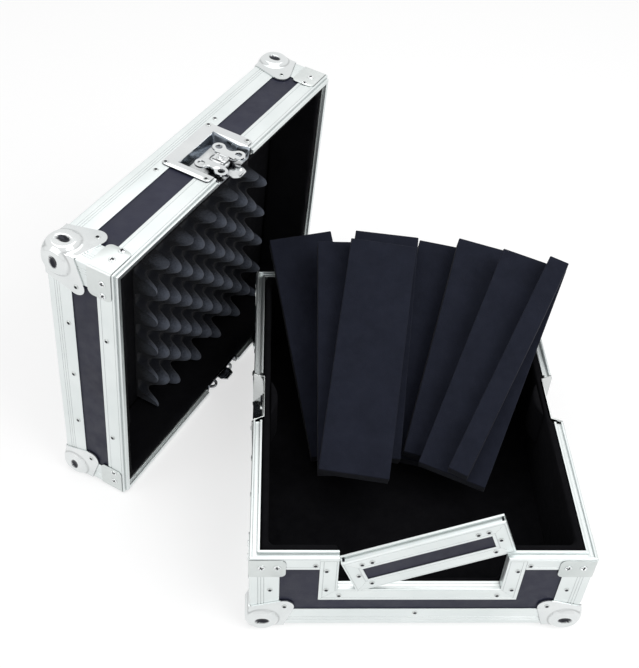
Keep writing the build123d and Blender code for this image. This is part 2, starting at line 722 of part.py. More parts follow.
def cover_pads():
    """Half-round foam pads glued to the lining behind the two catch dishes."""
    radius = ((PAD_CHORD / 2) ** 2 + PAD_PROUD**2) / (2 * PAD_PROUD)
    face = CASE_WIDTH / 2 - WALL - LINING - FIT
    low = BASE_HEIGHT - LINING_SETBACK - PAD_TALL
    with BuildPart() as pads:
        with BuildSketch(Plane.XY.offset(low)):
            for sign in (-1, 1):
                with Locations((sign * (face - PAD_PROUD + radius), 0)):
                    Circle(radius)
            Rectangle(2 * face, CASE_DEPTH, mode=Mode.INTERSECT)
        extrude(amount=PAD_TALL)
    return pads.part


def insert_parts():
    """Insert of the front opening, drawn upright: board, channel frame and grooved top."""
    profile = channel_profile(INSERT_FLANGE)
    half = INSERT_LENGTH / 2
    with BuildPart() as board:
        with Locations((0, GAUGE + BOARD / 2, GAUGE)):
            Box(INSERT_LENGTH - 2 * GAUGE, BOARD, INSERT_HEIGHT - GAUGE - BASE_SEAT, align=LOW)
    with BuildPart() as frame:
        bottom = Plane(origin=(0, 0, 0), x_dir=(0, 1, 0), z_dir=(-1, 0, 0))
        add(mitred_bar(bottom, profile, INSERT_LENGTH, (0, 1)))
        for sign in (-1, 1):
            middle = (sign * half, 0, INSERT_HEIGHT / 2)
            side = Plane(origin=middle, x_dir=(0, 1, 0), z_dir=(0, 0, -sign))
            add(mitred_bar(side, profile, INSERT_HEIGHT, (0, 1)))
    top = Plane(origin=(0, 0, INSERT_HEIGHT), x_dir=(0, 1, 0), z_dir=(1, 0, 0))
    rim = mitred_bar(top, groove_profile(INSERT_FLANGE), INSERT_LENGTH, (0, 1))
    return {"insert_panel": board.part, "insert_frame": frame.part, "insert_rim": rim}


def insert_location():
    """Insert pulled up out of its opening: left foot on the sill, underside on the rim corner."""
    left = -OPENING_WIDTH / 2 + INSERT_GAP + sin(radians(INSERT_TILT)) * INSERT_HEIGHT
    rise = atan2(OPENING_DEPTH, OPENING_WIDTH / 2 - left)
    seat = FIT * 2
    middle = Vector(left, -CASE_DEPTH / 2 - INSERT_BACK, FOOT + SILL + seat)
    pose = Location(middle) * Rotation(0, 0, INSERT_YAW) * Rotation(0, -degrees(rise), 0)
    return pose * Location((INSERT_LENGTH / 2, 0, 0))


def handle_plane():
    """Plane on the outside of the back wall at the handle's middle: x along, y up, z outward."""
    return Plane(origin=(0, CASE_DEPTH / 2, HANDLE_CENTRE), x_dir=(-1, 0, 0), z_dir=(0, 1, 0))


def handle_tray():
    """Pressed tray of the recessed handle."""
    plane = handle_plane()
    wide = HANDLE_LENGTH - 2 * HANDLE_BORDER
    tall = HANDLE_TALL - 2 * HANDLE_BORDER
    with BuildPart() as tray:
        with BuildSketch(plane):
            RectangleRounded(HANDLE_LENGTH, HANDLE_TALL, DISH_CORNER)
        extrude(amount=GAUGE)
        with BuildSketch(plane):
            RectangleRounded(wide + 2 * GAUGE, tall + 2 * GAUGE, DISH_CORNER)
        extrude(amount=-HANDLE_POCKET - GAUGE)
        with BuildSketch(plane.offset(GAUGE)):
            RectangleRounded(wide, tall, DISH_CORNER - GAUGE)
        extrude(amount=-HANDLE_POCKET - GAUGE, mode=Mode.SUBTRACT)
    return tray.part


def bail_top():
    """Height of the handle's hinge axis above the tray's middle."""
    return HANDLE_TALL / 2 - HANDLE_BORDER - 3 * BAIL_ROD


def handle_pins():
    """Two brackets on the tray floor, each with a stub pin that carries one end of the bail."""
    plane = handle_plane()
    wide = HANDLE_LENGTH - 2 * HANDLE_BORDER
    eye = BAIL_HALF + BAIL_ROD + FIT
    with BuildPart() as pins:
        for sign in (-1, 1):
            block = wide / 2 - eye
            with BuildSketch(plane.offset(-HANDLE_POCKET)):
                with Locations((sign * (eye + block / 2), bail_top())):
                    Rectangle(block, 2 * BAIL_ROD)
            extrude(amount=HANDLE_POCKET - BAIL_DEPTH + BAIL_ROD)
            origin = plane.from_local_coords((sign * eye, bail_top(), -BAIL_DEPTH))
            with BuildSketch(Plane(origin=origin, z_dir=plane.x_dir * -sign)):
                Circle(HINGE_PIN + RUNNING * 2)
            extrude(amount=2 * BAIL_ROD)
    return pins.part


def handle_bail():
    """Bent steel rod: two arms with eyes on the pins and a cross bar under the grip."""
    plane = handle_plane()
    bend = 2 * BAIL_ROD
    low = bail_top() - BAIL_DROP
    level = plane.offset(-BAIL_DEPTH)
    points = [(-BAIL_HALF, bail_top()), (-BAIL_HALF, low), (BAIL_HALF, low), (BAIL_HALF, bail_top())]
    places = [level.from_local_coords((a, b, 0)) for a, b in points]
    with BuildPart() as bail:
        with BuildLine() as path:
            FilletPolyline(*places, radius=bend)
        with BuildSketch(Plane(origin=places[0], z_dir=plane.y_dir * -1)):
            Circle(BAIL_ROD)
        sweep(path=path.line)
        for sign in (-1, 1):
            origin = plane.from_local_coords((sign * BAIL_HALF, bail_top(), -BAIL_DEPTH))
            with BuildSketch(Plane(origin=origin, z_dir=plane.x_dir)):
                Circle(BAIL_ROD)
            extrude(amount=BAIL_ROD, both=True)
            with BuildSketch(Plane(origin=origin, z_dir=plane.x_dir)):
                Circle(HINGE_PIN + RUNNING * 3)
            extrude(amount=2 * BAIL_ROD, both=True, mode=Mode.SUBTRACT)
    return bail.part


def handle_grip():
    """Moulded grip round the bail's cross bar."""
    plane = handle_plane()
    origin = plane.from_local_coords((0, bail_top() - BAIL_DROP, -BAIL_DEPTH))
    with BuildPart() as grip:
        with BuildSketch(Plane(origin=origin, z_dir=plane.x_dir)):
            Circle(GRIP_RADIUS)
            Circle(BAIL_ROD + GRIP_BORE_GAP, mode=Mode.SUBTRACT)
        extrude(amount=GRIP_HALF, both=True)
    return grip.part


def egg_crate():
    """Pad of peaks on a staggered lattice, on the inside of the lid's top."""
    half_pitch = CRATE_PITCH / 2
    long = CRATE_COLUMNS * CRATE_PITCH
    tall = CRATE_ROWS * CRATE_PITCH
    base = FLOOR_TOP + FIT
    spots = []
    for row in range(2 * CRATE_ROWS - 1):
        count = CRATE_COLUMNS - row % 2
        for column in range(count):
            along = (column - (count - 1) / 2) * CRATE_PITCH
            up = (row - CRATE_ROWS + 1) * half_pitch
            spots.append((CRATE_UP + up, CRATE_ALONG + along))
    with BuildPart() as peak:
        for depth, size in ((0, CRATE_FOOT), (CRATE_PEAK, CRATE_TIP)):
            with BuildSketch(Plane.XY.offset(depth)):
                Rectangle(size, size, rotation=45)
        loft()
    with BuildPart() as pad:
        with Locations((CRATE_UP, CRATE_ALONG, base)):
            Box(tall, long, CRATE_BASE, align=LOW)
        # The seam keeps each peak a solid of its own
        with Locations(*[(a, b, base + CRATE_BASE + CRATE_SEAM) for a, b in spots]):
            add(peak.part)
    return pad.part


def fan_plane():
    """Underside of the fan's lowest layer: x across, y up the lean over the back lining's edge."""
    lean = radians(BAR_LEAN)
    pivot = Plane(origin=(0, FAN_EDGE, FAN_TOP), x_dir=(1, 0, 0), z_dir=(0, -sin(lean), cos(lean)))
    foot = pivot.from_local_coords((0, -FAN_RUN, 0))
    return Plane(origin=foot, x_dir=pivot.x_dir, z_dir=pivot.z_dir)


def rolled_plane():
    """Underside of the rolled bars, turned about the left foot corner of the first of them."""
    lift = ROLLED_LAYER * (BAR_THICKNESS + BAR_GAP)
    foot = fan_plane().from_local_coords((ROLLED_FOOT[0], ROLLED_FOOT[1], lift))
    roll = radians(BAR_ROLL)
    across = fan_plane().x_dir * cos(roll) + fan_plane().z_dir * sin(roll)
    out = fan_plane().z_dir * cos(roll) - fan_plane().x_dir * sin(roll)
    return Plane(origin=foot, x_dir=across, z_dir=out)


def foam_bar(level, layer, across, along, turn, width):
    """One foam bar of the fan, laid on its layer of the given plane."""
    layer_plane = level.offset(layer * (BAR_THICKNESS + BAR_GAP))
    with BuildPart() as bar:
        with BuildSketch(layer_plane):
            with Locations(Location((across, along, 0), (0, 0, -turn))):
                Rectangle(width, BAR_LENGTH, align=(Align.MIN, Align.MIN))
        extrude(amount=BAR_THICKNESS)
    return bar.part


def lid_location():
    """Lid on its long edge, opening to the right, resting on ball flats and a dish flange."""
    flat_from_rim = LID_HEIGHT - BALL_INSET - FLAT_RADIUS
    tilt = atan2(FOOT - GAUGE, flat_from_rim - DISH_NEAR)
    heading = radians(LID_HEADING)
    facing = Vector(sin(heading), -cos(heading), 0)
    along = Vector(cos(heading), sin(heading), 0)
    up = Vector(0, 0, 1) * cos(tilt) + facing * sin(tilt)
    out = facing * cos(tilt) - Vector(0, 0, 1) * sin(tilt)
    low = GAUGE * cos(tilt) - DISH_NEAR * sin(tilt)
    corner = Vector(-CASE_WIDTH / 2, CASE_DEPTH / 2, low)
    corner -= facing * LID_CLEARANCE + along * (CASE_DEPTH - LID_PAST_CORNER)
    centre = corner + up * (CASE_WIDTH / 2) + along * (CASE_DEPTH / 2) - out * LID_HEIGHT
    return Plane(origin=centre, x_dir=up, z_dir=out).location


def base_parts():
    """Every piece fixed to the base, upright with its closed face at z = 0."""
    groove = groove_profile(BASE_RIM_FLANGE)
    return {
        "base_bottom_panel": face_board(),
        "base_front_panel": front_board(),
        "base_back_panel": back_board(),
        "base_left_panel": side_board(-1, BASE_HEIGHT, BASE_SEAT),
        "base_right_panel": side_board(1, BASE_HEIGHT, BASE_SEAT),
        "base_corner_posts": corner_posts(BASE_HEIGHT, BASE_RIM_FLANGE),
        "base_bottom_edging": face_edging(),
        "base_rim_sides": rim_bars([1, 3], BASE_HEIGHT, groove, RIM_GAP),
        "base_rim_front": front_rim(),
        "base_rim_back": rim_bars([2], BASE_HEIGHT, groove, 0),
        "opening_frame": opening_frame(),
        "base_ball_corners": ball_corners(),
        "base_rim_braces": rim_braces(BASE_HEIGHT),
        "left_catch_dish": dish(-1, BASE_HEIGHT, False),
        "right_catch_dish": dish(1, BASE_HEIGHT, False),
        "left_catch_keeper": catch_keeper(-1),
        "right_catch_keeper": catch_keeper(1),
        "base_wall_lining": base_lining(),
        "base_floor_lining": floor_lining(),
        "catch_cover_pads": cover_pads(),
        "handle_tray": handle_tray(),
        "handle_pins": handle_pins(),
        "handle_bail": handle_bail(),
        "handle_grip": handle_grip(),
    }


def lid_parts():
    """Every piece of the lid, upright with its closed face at z = 0."""
    tongue = tongue_profile(LID_RIM_FLANGE)
    parts = {
        "lid_top_panel": face_board(),
        "lid_front_panel": end_board(-1, LID_HEIGHT, LID_SEAT),
        "lid_back_panel": end_board(1, LID_HEIGHT, LID_SEAT),
        "lid_left_panel": side_board(-1, LID_HEIGHT, LID_SEAT),
        "lid_right_panel": side_board(1, LID_HEIGHT, LID_SEAT),
        "lid_corner_posts": corner_posts(LID_HEIGHT, LID_RIM_FLANGE),
        "lid_top_edging": face_edging(),
        "lid_rim_sides": rim_bars([1, 3], LID_HEIGHT, tongue, RIM_GAP),
        "lid_rim_ends": rim_bars([0, 2], LID_HEIGHT, tongue, 0),
        "lid_ball_corners": ball_corners(),
        "lid_rim_braces": rim_braces(LID_HEIGHT),
        "lid_wall_lining": wall_lining(LID_HEIGHT),
        "lid_top_lining": floor_lining(),
        "lid_egg_crate_foam": egg_crate(),
    }
    for name, sign in (("lower", -1), ("upper", 1)):
        parts[name + "_latch_dish"] = dish(sign, LID_HEIGHT, True)
        parts[name + "_latch_hook"] = latch_hook(sign, LID_HEIGHT)
        parts[name + "_latch_hub"] = latch_hub(sign, LID_HEIGHT)
        parts[name + "_latch_front_wing"] = latch_wing(sign, LID_HEIGHT, -1)
        parts[name + "_latch_back_wing"] = latch_wing(sign, LID_HEIGHT, 1)
    return parts


def all_parts():
    """Every piece where it stands, with the origin at the middle of the footprint."""
    placed = {}
    for name, part in base_parts().items():
        placed[name] = Location((0, 0, FOOT)) * part
    for name, part in insert_parts().items():
        placed[name] = insert_location() * part
    for name, values in BARS.items():
        placed[name] = foam_bar(fan_plane(), *values)
    for name, values in ROLLED_BARS.items():
        placed[name] = foam_bar(rolled_plane(), *values)
    for name, part in lid_parts().items():
        placed[name] = lid_location() * part
    box = Compound(children=[Compound(part.wrapped) for part in placed.values()]).bounding_box()
    middle = box.center()
    shift = Location((-middle.X, -middle.Y, -box.min.Z))
    return {name: shift * part for name, part in placed.items()}


os.makedirs("parts", exist_ok=True)
for part_name, finished in all_parts().items():
    finished.label = part_name
    export_step(finished, f"parts/{part_name}.step")
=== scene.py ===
"""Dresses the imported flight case: the base, the lid on edge, the loose insert and the foam bars."""
import logging
from dataclasses import dataclass
from enum import Enum
from functools import lru_cache
from itertools import product

import bmesh
import bpy
import numpy as np
from mathutils import Matrix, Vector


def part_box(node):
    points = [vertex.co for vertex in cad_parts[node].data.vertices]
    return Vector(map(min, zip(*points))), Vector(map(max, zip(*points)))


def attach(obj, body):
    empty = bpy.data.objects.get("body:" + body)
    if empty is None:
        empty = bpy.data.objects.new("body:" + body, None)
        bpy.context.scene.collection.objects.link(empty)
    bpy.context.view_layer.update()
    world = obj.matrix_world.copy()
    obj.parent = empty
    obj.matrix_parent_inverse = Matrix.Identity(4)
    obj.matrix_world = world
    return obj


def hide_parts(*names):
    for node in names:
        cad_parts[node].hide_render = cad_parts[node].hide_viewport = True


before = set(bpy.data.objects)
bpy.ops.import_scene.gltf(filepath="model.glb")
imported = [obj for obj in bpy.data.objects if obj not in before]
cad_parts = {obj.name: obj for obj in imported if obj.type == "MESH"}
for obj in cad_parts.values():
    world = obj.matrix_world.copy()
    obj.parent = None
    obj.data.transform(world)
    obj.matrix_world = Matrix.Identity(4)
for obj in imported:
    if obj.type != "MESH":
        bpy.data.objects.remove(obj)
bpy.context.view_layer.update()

LOG = logging.getLogger("flight_case")
MM = 0.001

# Points closer than this many metres merge, and edges bent by more than these degrees stay hard
MERGE = 2e-6
SHARP = 40.0

# Sizes that several pieces share, in millimetres
CASE_WIDTH, CASE_DEPTH = 400.0, 500.0
BASE_HEIGHT, LID_HEIGHT = 139.0, 92.5
OPENING_WIDTH, OPENING_DEPTH = 194.0, 63.4
BALL_FLAT = 6.0
PETAL_GAUGE, DISH_GAUGE, BRACE_GAUGE = 1.6, 1.5, 1.2
EAR_INSET = 41.5

# The part of a noise's range that colours and gloss follow
MIDDLE = (0.3, 0.7)

Colour = tuple[float, float, float]
Value = float | Colour | bpy.types.NodeSocket


# Shader building


class Axes(Enum):
    """Which coordinates a pattern follows."""

    OBJECT = "Object"
    ALONG = "UV"


class Nodes:
    """Adds nodes to a tree, with inputs that are set or linked as the value asks."""

    def __init__(self, tree: bpy.types.NodeTree) -> None:
        """Starts with an empty tree."""
        self.tree = tree
        self.tree.nodes.clear()

    def feed(self, socket: bpy.types.NodeSocket, value: Value) -> None:
        """Links an input to a socket, or sets its constant.

        Args:
            socket: the input.
            value: a socket, a number, or a colour of three, which gets an alpha of 1.
        """
        if isinstance(value, bpy.types.NodeSocket):
            self.tree.links.new(value, socket)
        elif socket.type == "RGBA":
            socket.default_value = (*value, 1.0)
        else:
            socket.default_value = value

    def node(self, kind: str, *values: Value, **named: Value) -> bpy.types.Node:
        """Adds a node.

        Args:
            kind: its type, without the common prefix.
            values: what its first inputs get, in order.
            named: what named inputs get, with underscores for spaces.

        Returns:
            The node.
        """
        made = self.tree.nodes.new("ShaderNode" + kind)
        for socket, value in zip(made.inputs, values):
            self.feed(socket, value)
        for name, value in named.items():
            self.feed(made.inputs[name.replace("_", " ")], value)
        return made

    def math(self, operation: str, *values: Value) -> bpy.types.NodeSocket:
        """Calculates with values.

        Args:
            operation: name of the calculation.
            values: what its inputs get, in order.

        Returns:
            The result's socket.
        """
        made = self.node("Math", *values)
        made.operation = operation
        return made.outputs[0]

    def seen(self) -> bpy.types.NodeSocket:
        """Finds the rays that show the surroundings.

        Returns:
            A socket that is 1 for rays from the camera, off gloss or through glass.
        """
        path = self.tree.nodes.new("ShaderNodeLightPath").outputs
        total = path["Is Camera Ray"]
        for name in ("Is Glossy Ray", "Is Transmission Ray"):
            total = self.math("MAXIMUM", total, path[name])
        return total


class Shader(Nodes):
    """Builds one material round a Principled shader."""

    def __init__(self, name: str, axes: Axes) -> None:
        """Starts a material with a Principled shader and its coordinates.

        Args:
            name: the material's name.
            axes: the coordinates that its patterns follow.
        """
        self.material = bpy.data.materials.new(name)
        self.material.use_nodes = True
        super().__init__(self.material.node_tree)
        self.surface = self.node("BsdfPrincipled")
        self.node("OutputMaterial", self.surface.outputs[0])
        self.coordinates = self.node("TexCoord").outputs[axes.value]

    def set(self, **values: Value) -> None:
        """Sets or links the Principled shader's own inputs, named with underscores."""
        for name, value in values.items():
            self.feed(self.surface.inputs[name.replace("_", " ")], value)

    def noise(self, scale: Colour, detail: float = 3.0, rough: float = 0.55) -> bpy.types.NodeSocket:
        """Fractal noise on the coordinates times the three scales, per metre.

        Args:
            scale: cycles per metre along each axis.
            detail: octaves of the noise.
            rough: how strong the fine octaves are.

        Returns:
            The noise's value socket.
        """
        vector = self.node("Mapping", Vector=self.coordinates, Scale=scale).outputs[0]
        made = self.node("TexNoise", Vector=vector, Scale=1.0, Detail=detail, Roughness=rough)
        return made.outputs["Fac"]

    def cells(self, scale: float, smooth: float = 0.4) -> bpy.types.NodeSocket:
        """Distance to the nearest cell centre, for pores and pebbles.

        Args:
            scale: cells per metre.
            smooth: how far neighbouring cells blend.

        Returns:
            The distance's socket.
        """
        made = self.node("TexVoronoi", Vector=self.coordinates, Scale=scale)
        made.feature = "SMOOTH_F1"
        made.inputs["Smoothness"].default_value = smooth
        return made.outputs["Distance"]

    def attribute(self, name: str) -> bpy.types.NodeSocket:
        """Reads a number that is stored on the mesh.

        Args:
            name: its name.

        Returns:
            The number's socket.
        """
        made = self.node("Attribute")
        made.attribute_name = name
        return made.outputs["Fac"]

    def spread(self, source: bpy.types.NodeSocket, low: float, high: float) -> bpy.types.NodeSocket:
        """Stretches a value's middle range.

        Args:
            source: the value to stretch.
            low: what the start of its middle range becomes.
            high: what the end becomes.

        Returns:
            The stretched value's socket.
        """
        start, end = MIDDLE
        made = self.node("MapRange", Value=source, From_Min=start, From_Max=end, To_Min=low, To_Max=high)
        return made.outputs["Result"]

    def tint(self, source: bpy.types.NodeSocket, dark: Colour, light: Colour) -> bpy.types.NodeSocket:
        """Colours a value's middle range.

        Args:
            source: the value that steers the colour.
            dark: colour at the start of its middle range.
            light: colour at the end.

        Returns:
            The colour's socket.
        """
        made = self.node("ValToRGB", Fac=source)
        for element, place, colour in zip(made.color_ramp.elements, MIDDLE, (dark, light)):
            element.position = place
            element.color = (*colour, 1.0)
        return made.outputs["Color"]

    def plus(self, source: bpy.types.NodeSocket, other: bpy.types.NodeSocket, share: float) -> bpy.types.NodeSocket:
        """The source plus a share of how far the other is over one half."""
        return self.math("MULTIPLY_ADD", other, share, self.math("SUBTRACT", source, share / 2))

    def openness(self, distance: float) -> bpy.types.NodeSocket:
        """How open the surface is to its surroundings.

        Args:
            distance: how far away things still shade it, in metres.

        Returns:
            A socket from 0, closed in, to 1, open.
        """
        made = self.node("AmbientOcclusion", Distance=distance)
        made.samples = 8
        return made.outputs["AO"]

    def shade(
        self, colour: bpy.types.NodeSocket, dark: Colour, amount: bpy.types.NodeSocket, low: float, high: float
    ) -> bpy.types.NodeSocket:
        """Mixes a dark colour with a colour.

        Args:
            colour: the colour that shows where the amount is high.
            dark: the colour that shows where it is low.
            amount: what steers the mix.
            low: the amount at which the dark colour is full.
            high: the amount at which it has gone.

        Returns:
            The mixed colour's socket.
        """
        share = self.node("MapRange", Value=amount, From_Min=low, From_Max=high).outputs["Result"]
        mix = self.node("Mix", share)
        mix.data_type = "RGBA"
        first, second = [socket for socket in mix.inputs if socket.type == "RGBA"]
        self.feed(first, dark)
        self.feed(second, colour)
        return mix.outputs[2]

    def bump(self, source: bpy.types.NodeSocket, distance: float, strength: float = 1.0) -> None:
        """Bumps the surface, over any bump before it.

        Args:
            source: the height, from 0 to 1.
            distance: what a height of 1 stands for, in metres.
            strength: share of the bump that shows.
        """
        made = self.node("Bump", Distance=distance, Strength=strength, Height=source)
        before = self.surface.inputs["Normal"]
        if before.is_linked:
            self.feed(made.inputs["Normal"], before.links[0].from_socket)
        self.feed(before, made.outputs[0])


@dataclass(frozen=True)
class Metal:
    """Metal with drawn lines or mottling, small smudges, a slight change of tone, and painted shade in its recesses
    and creases.
    """

    name: str
    dark: Colour
    light: Colour
    roughness: tuple[float, float]
    grain: Colour
    depth: float
    axes: Axes = Axes.OBJECT
    recess: float = 0.0
    shade_colour: Colour = (0.08, 0.085, 0.09)
    mark: str = ""
    opening: tuple[float, float] = (0.25, 0.85)

    def material(self) -> bpy.types.Material:
        """Grain noise gives tone and bump, broad noise the change of gloss, and recesses and marked creases get
        painted shade.

        Returns:
            The material.
        """
        shader = Shader(self.name, self.axes)
        grain = shader.noise(self.grain, 4.0)
        broad = shader.noise((14.0,) * 3, 2.0)
        shader.set(Metallic=1.0)
        colour = shader.tint(broad, self.dark, self.light)
        # Painted shade: the colour runs to the shade colour where ambient occlusion finds the surface closed in.
        if self.recess:
            colour = shader.shade(colour, self.shade_colour, shader.openness(self.recess), *self.opening)
        # Painted shade and dark reflection, from a share stored on the mesh.
        if self.mark:
            colour = shader.shade(colour, self.shade_colour, shader.attribute(self.mark), 0.0, 1.0)
        shader.set(Base_Color=colour, Roughness=shader.spread(grain, *self.roughness))
        shader.bump(grain, self.depth)
        return shader.material


@dataclass(frozen=True)
class Laminate:
    """Plastic laminate on plywood: dark, with a fine pebbled face and faint rubbed patches."""

    name: str
    dark: Colour
    light: Colour

    def material(self) -> bpy.types.Material:
        """Cells give the pebbled bump, and broad noise the rubbed tone and gloss.

        Returns:
            The material.
        """
        shader = Shader(self.name, Axes.OBJECT)
        rubbed = shader.noise((9.0,) * 3, 5.0)
        gloss = shader.spread(shader.noise((60.0,) * 3), 0.42, 0.6)
        shader.set(Base_Color=shader.tint(rubbed, self.dark, self.light), Roughness=gloss)
        shader.set(Specular_IOR_Level=0.3)
        shader.bump(shader.cells(650.0), 0.00012, 0.7)
        shader.bump(shader.noise((220.0,) * 3), 0.00008, 0.5)
        return shader.material


@dataclass(frozen=True)
class Foam:
    """Foam with fine cells, and painted shade that darkens hollows and leaves raised parts lighter where the mesh
    stores a height.
    """

    name: str
    dark: Colour
    light: Colour
    pores: float
    depth: float
    sheen: float = 0.0
    height: str = ""
    speckle: float = 0.0

    def material(self) -> bpy.types.Material:
        """Cell noise gives the pores, and broad noise the tone, or the stored height a painted shade.

        Returns:
            The material.
        """
        shader = Shader(self.name, Axes.OBJECT)
        tone = shader.noise((26.0,) * 3, 6.0, 0.7)
        # Painted shade: the stored height darkens the hollows and lightens the tips, with fine grain added.
        if self.height:
            grain = shader.noise((420.0,) * 3, 2.0)
            tone = shader.plus(shader.attribute(self.height), grain, self.speckle)
        gloss = shader.spread(shader.noise((90.0,) * 3), 0.82, 0.98)
        shader.set(Base_Color=shader.tint(tone, self.dark, self.light), Roughness=gloss)
        shader.set(Sheen_Weight=self.sheen, Sheen_Roughness=0.6, Specular_IOR_Level=0.08)
        shader.bump(shader.cells(self.pores), self.depth, 0.9)
        shader.bump(shader.noise((120.0,) * 3, 4.0), self.depth * 2.0, 0.6)
        return shader.material


class Finish(Enum):
    """Every finish on the case."""

    ANODISED = Metal(
        "anodised_aluminium", (0.72, 0.765, 0.76), (0.79, 0.83, 0.825), (0.3, 0.42), (3.0, 900.0, 1.0), 0.00003,
        axes=Axes.ALONG, recess=0.0035,
    )
    CHROME = Metal(
        "bright_chrome", (0.68, 0.7, 0.71), (0.78, 0.8, 0.8), (0.08, 0.16), (60.0,) * 3, 0.00002,
        recess=0.011, shade_colour=(0.012, 0.013, 0.02), opening=(0.5, 0.92),
    )
    # Dark chrome of the latch pockets' walls: painted shade and dark reflection.
    POCKET_SHADE = Metal(
        "pocket_shade_chrome", (0.07, 0.08, 0.1), (0.3, 0.33, 0.36), (0.1, 0.2), (70.0,) * 3, 0.00002,
        recess=0.02, shade_colour=(0.01, 0.01, 0.015), opening=(0.2, 0.7),
    )
    # Painted shade and dark reflection in the ball's crease and dimples, from the stored share.
    CORNER = Metal(
        "corner_chrome", (0.68, 0.71, 0.71), (0.78, 0.8, 0.8), (0.08, 0.18), (60.0,) * 3, 0.00002,
        shade_colour=(0.006, 0.006, 0.012), mark="unshaded_share",
    )
    NICKEL = Metal(
        "nickel_plate", (0.55, 0.57, 0.57), (0.68, 0.7, 0.69), (0.14, 0.26), (90.0,) * 3, 0.00003, recess=0.006
    )
    ZINC = Metal(
        "zinc_plate", (0.6, 0.64, 0.63), (0.72, 0.75, 0.74), (0.3, 0.46), (180.0,) * 3, 0.00005, recess=0.0016
    )
    RIVET = Metal(
        "rivet_aluminium", (0.55, 0.58, 0.57), (0.68, 0.71, 0.7), (0.24, 0.36), (300.0,) * 3, 0.00003, recess=0.0015
    )
    SCREW = Metal(
        "screw_nickel", (0.76, 0.79, 0.79), (0.86, 0.88, 0.88), (0.2, 0.3), (300.0,) * 3, 0.00003,
        shade_colour=(0.02, 0.02, 0.025), mark="unshaded_share",
    )
    # The mandrel's steel, darkened further by painted shade of the hole.
    MANDREL_SHADE = Metal("rivet_mandrel_shade", (0.03, 0.03, 0.035), (0.08, 0.08, 0.09), (0.4, 0.6), (300.0,) * 3, 0.00004)
    LAMINATE = Laminate("black_laminate", (0.011, 0.012, 0.026), (0.02, 0.022, 0.043))
    BAR_FOAM = Foam("packing_foam", (0.0098, 0.0116, 0.02), (0.0148, 0.0172, 0.029), 900.0, 0.0003, 0.04)
    LINING_FOAM = Foam("lining_foam", (0.0022, 0.0022, 0.003), (0.0044, 0.0044, 0.0056), 1100.0, 0.0002)
    # Its wide range from dark to light is painted shade between the valleys and the tips.
    CRATE_FOAM = Foam(
        "egg_crate_foam", (0.006, 0.007, 0.0105), (0.088, 0.1, 0.128), 800.0, 0.0006, 0.1, "crate_shade", 0.35
    )
    RUBBER = Foam("grip_rubber", (0.012, 0.012, 0.013), (0.022, 0.022, 0.024), 1500.0, 0.0001)


@lru_cache(maxsize=None)
def finish_material(finish: Finish) -> bpy.types.Material:
    """The material of a finish, made once."""
    return finish.value.material()


# Mesh building


def read(items: bpy.types.bpy_prop_collection, key: str, width: int = 1, kind: type = np.float32) -> np.ndarray:
    """One property of all of a mesh's points, faces or corners.

    Args:
        items: the mesh's collection.
        key: the property.
        width: how many numbers it has.
        kind: type of its numbers.

    Returns:
        A row per item, or a flat array where the property is one number.
    """
    values = np.zeros(width * len(items), kind)
    items.foreach_get(key, values)
    return values.reshape(-1, width) if width > 1 else values


def finish_piece(obj: bpy.types.Object, body: str, finishes: list[Finish], node: str = "") -> None:
    """Gives a piece its materials and body, and hides the node that it stands for.

    Args:
        obj: the piece.
        body: the CAD body that it rides on.
        finishes: its finishes in order, one per material slot.
        node: the CAD node that it replaces, if any.
    """
    slots = read(obj.data.polygons, "material_index", kind=np.int32)
    obj.data.materials.clear()
    for finish in finishes:
        obj.data.materials.append(finish_material(finish))
    obj.data.polygons.foreach_set("material_index", np.minimum(slots, len(finishes) - 1))
    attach(obj, body)
    if node:
        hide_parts(node)
    triangles = len(obj.data.loops) - 2 * len(obj.data.polygons)
    LOG.info("%s on %s: %d triangles", obj.name, body, triangles)


def new_object(name: str, data: bpy.types.ID) -> bpy.types.Object:
    """Puts a new object in the scene.

    Args:
        name: its name.
        data: its mesh, lamp or camera.

    Returns:
        The object.
    """
    obj = bpy.data.objects.new(name, data)
    bpy.context.scene.collection.objects.link(obj)
    return obj


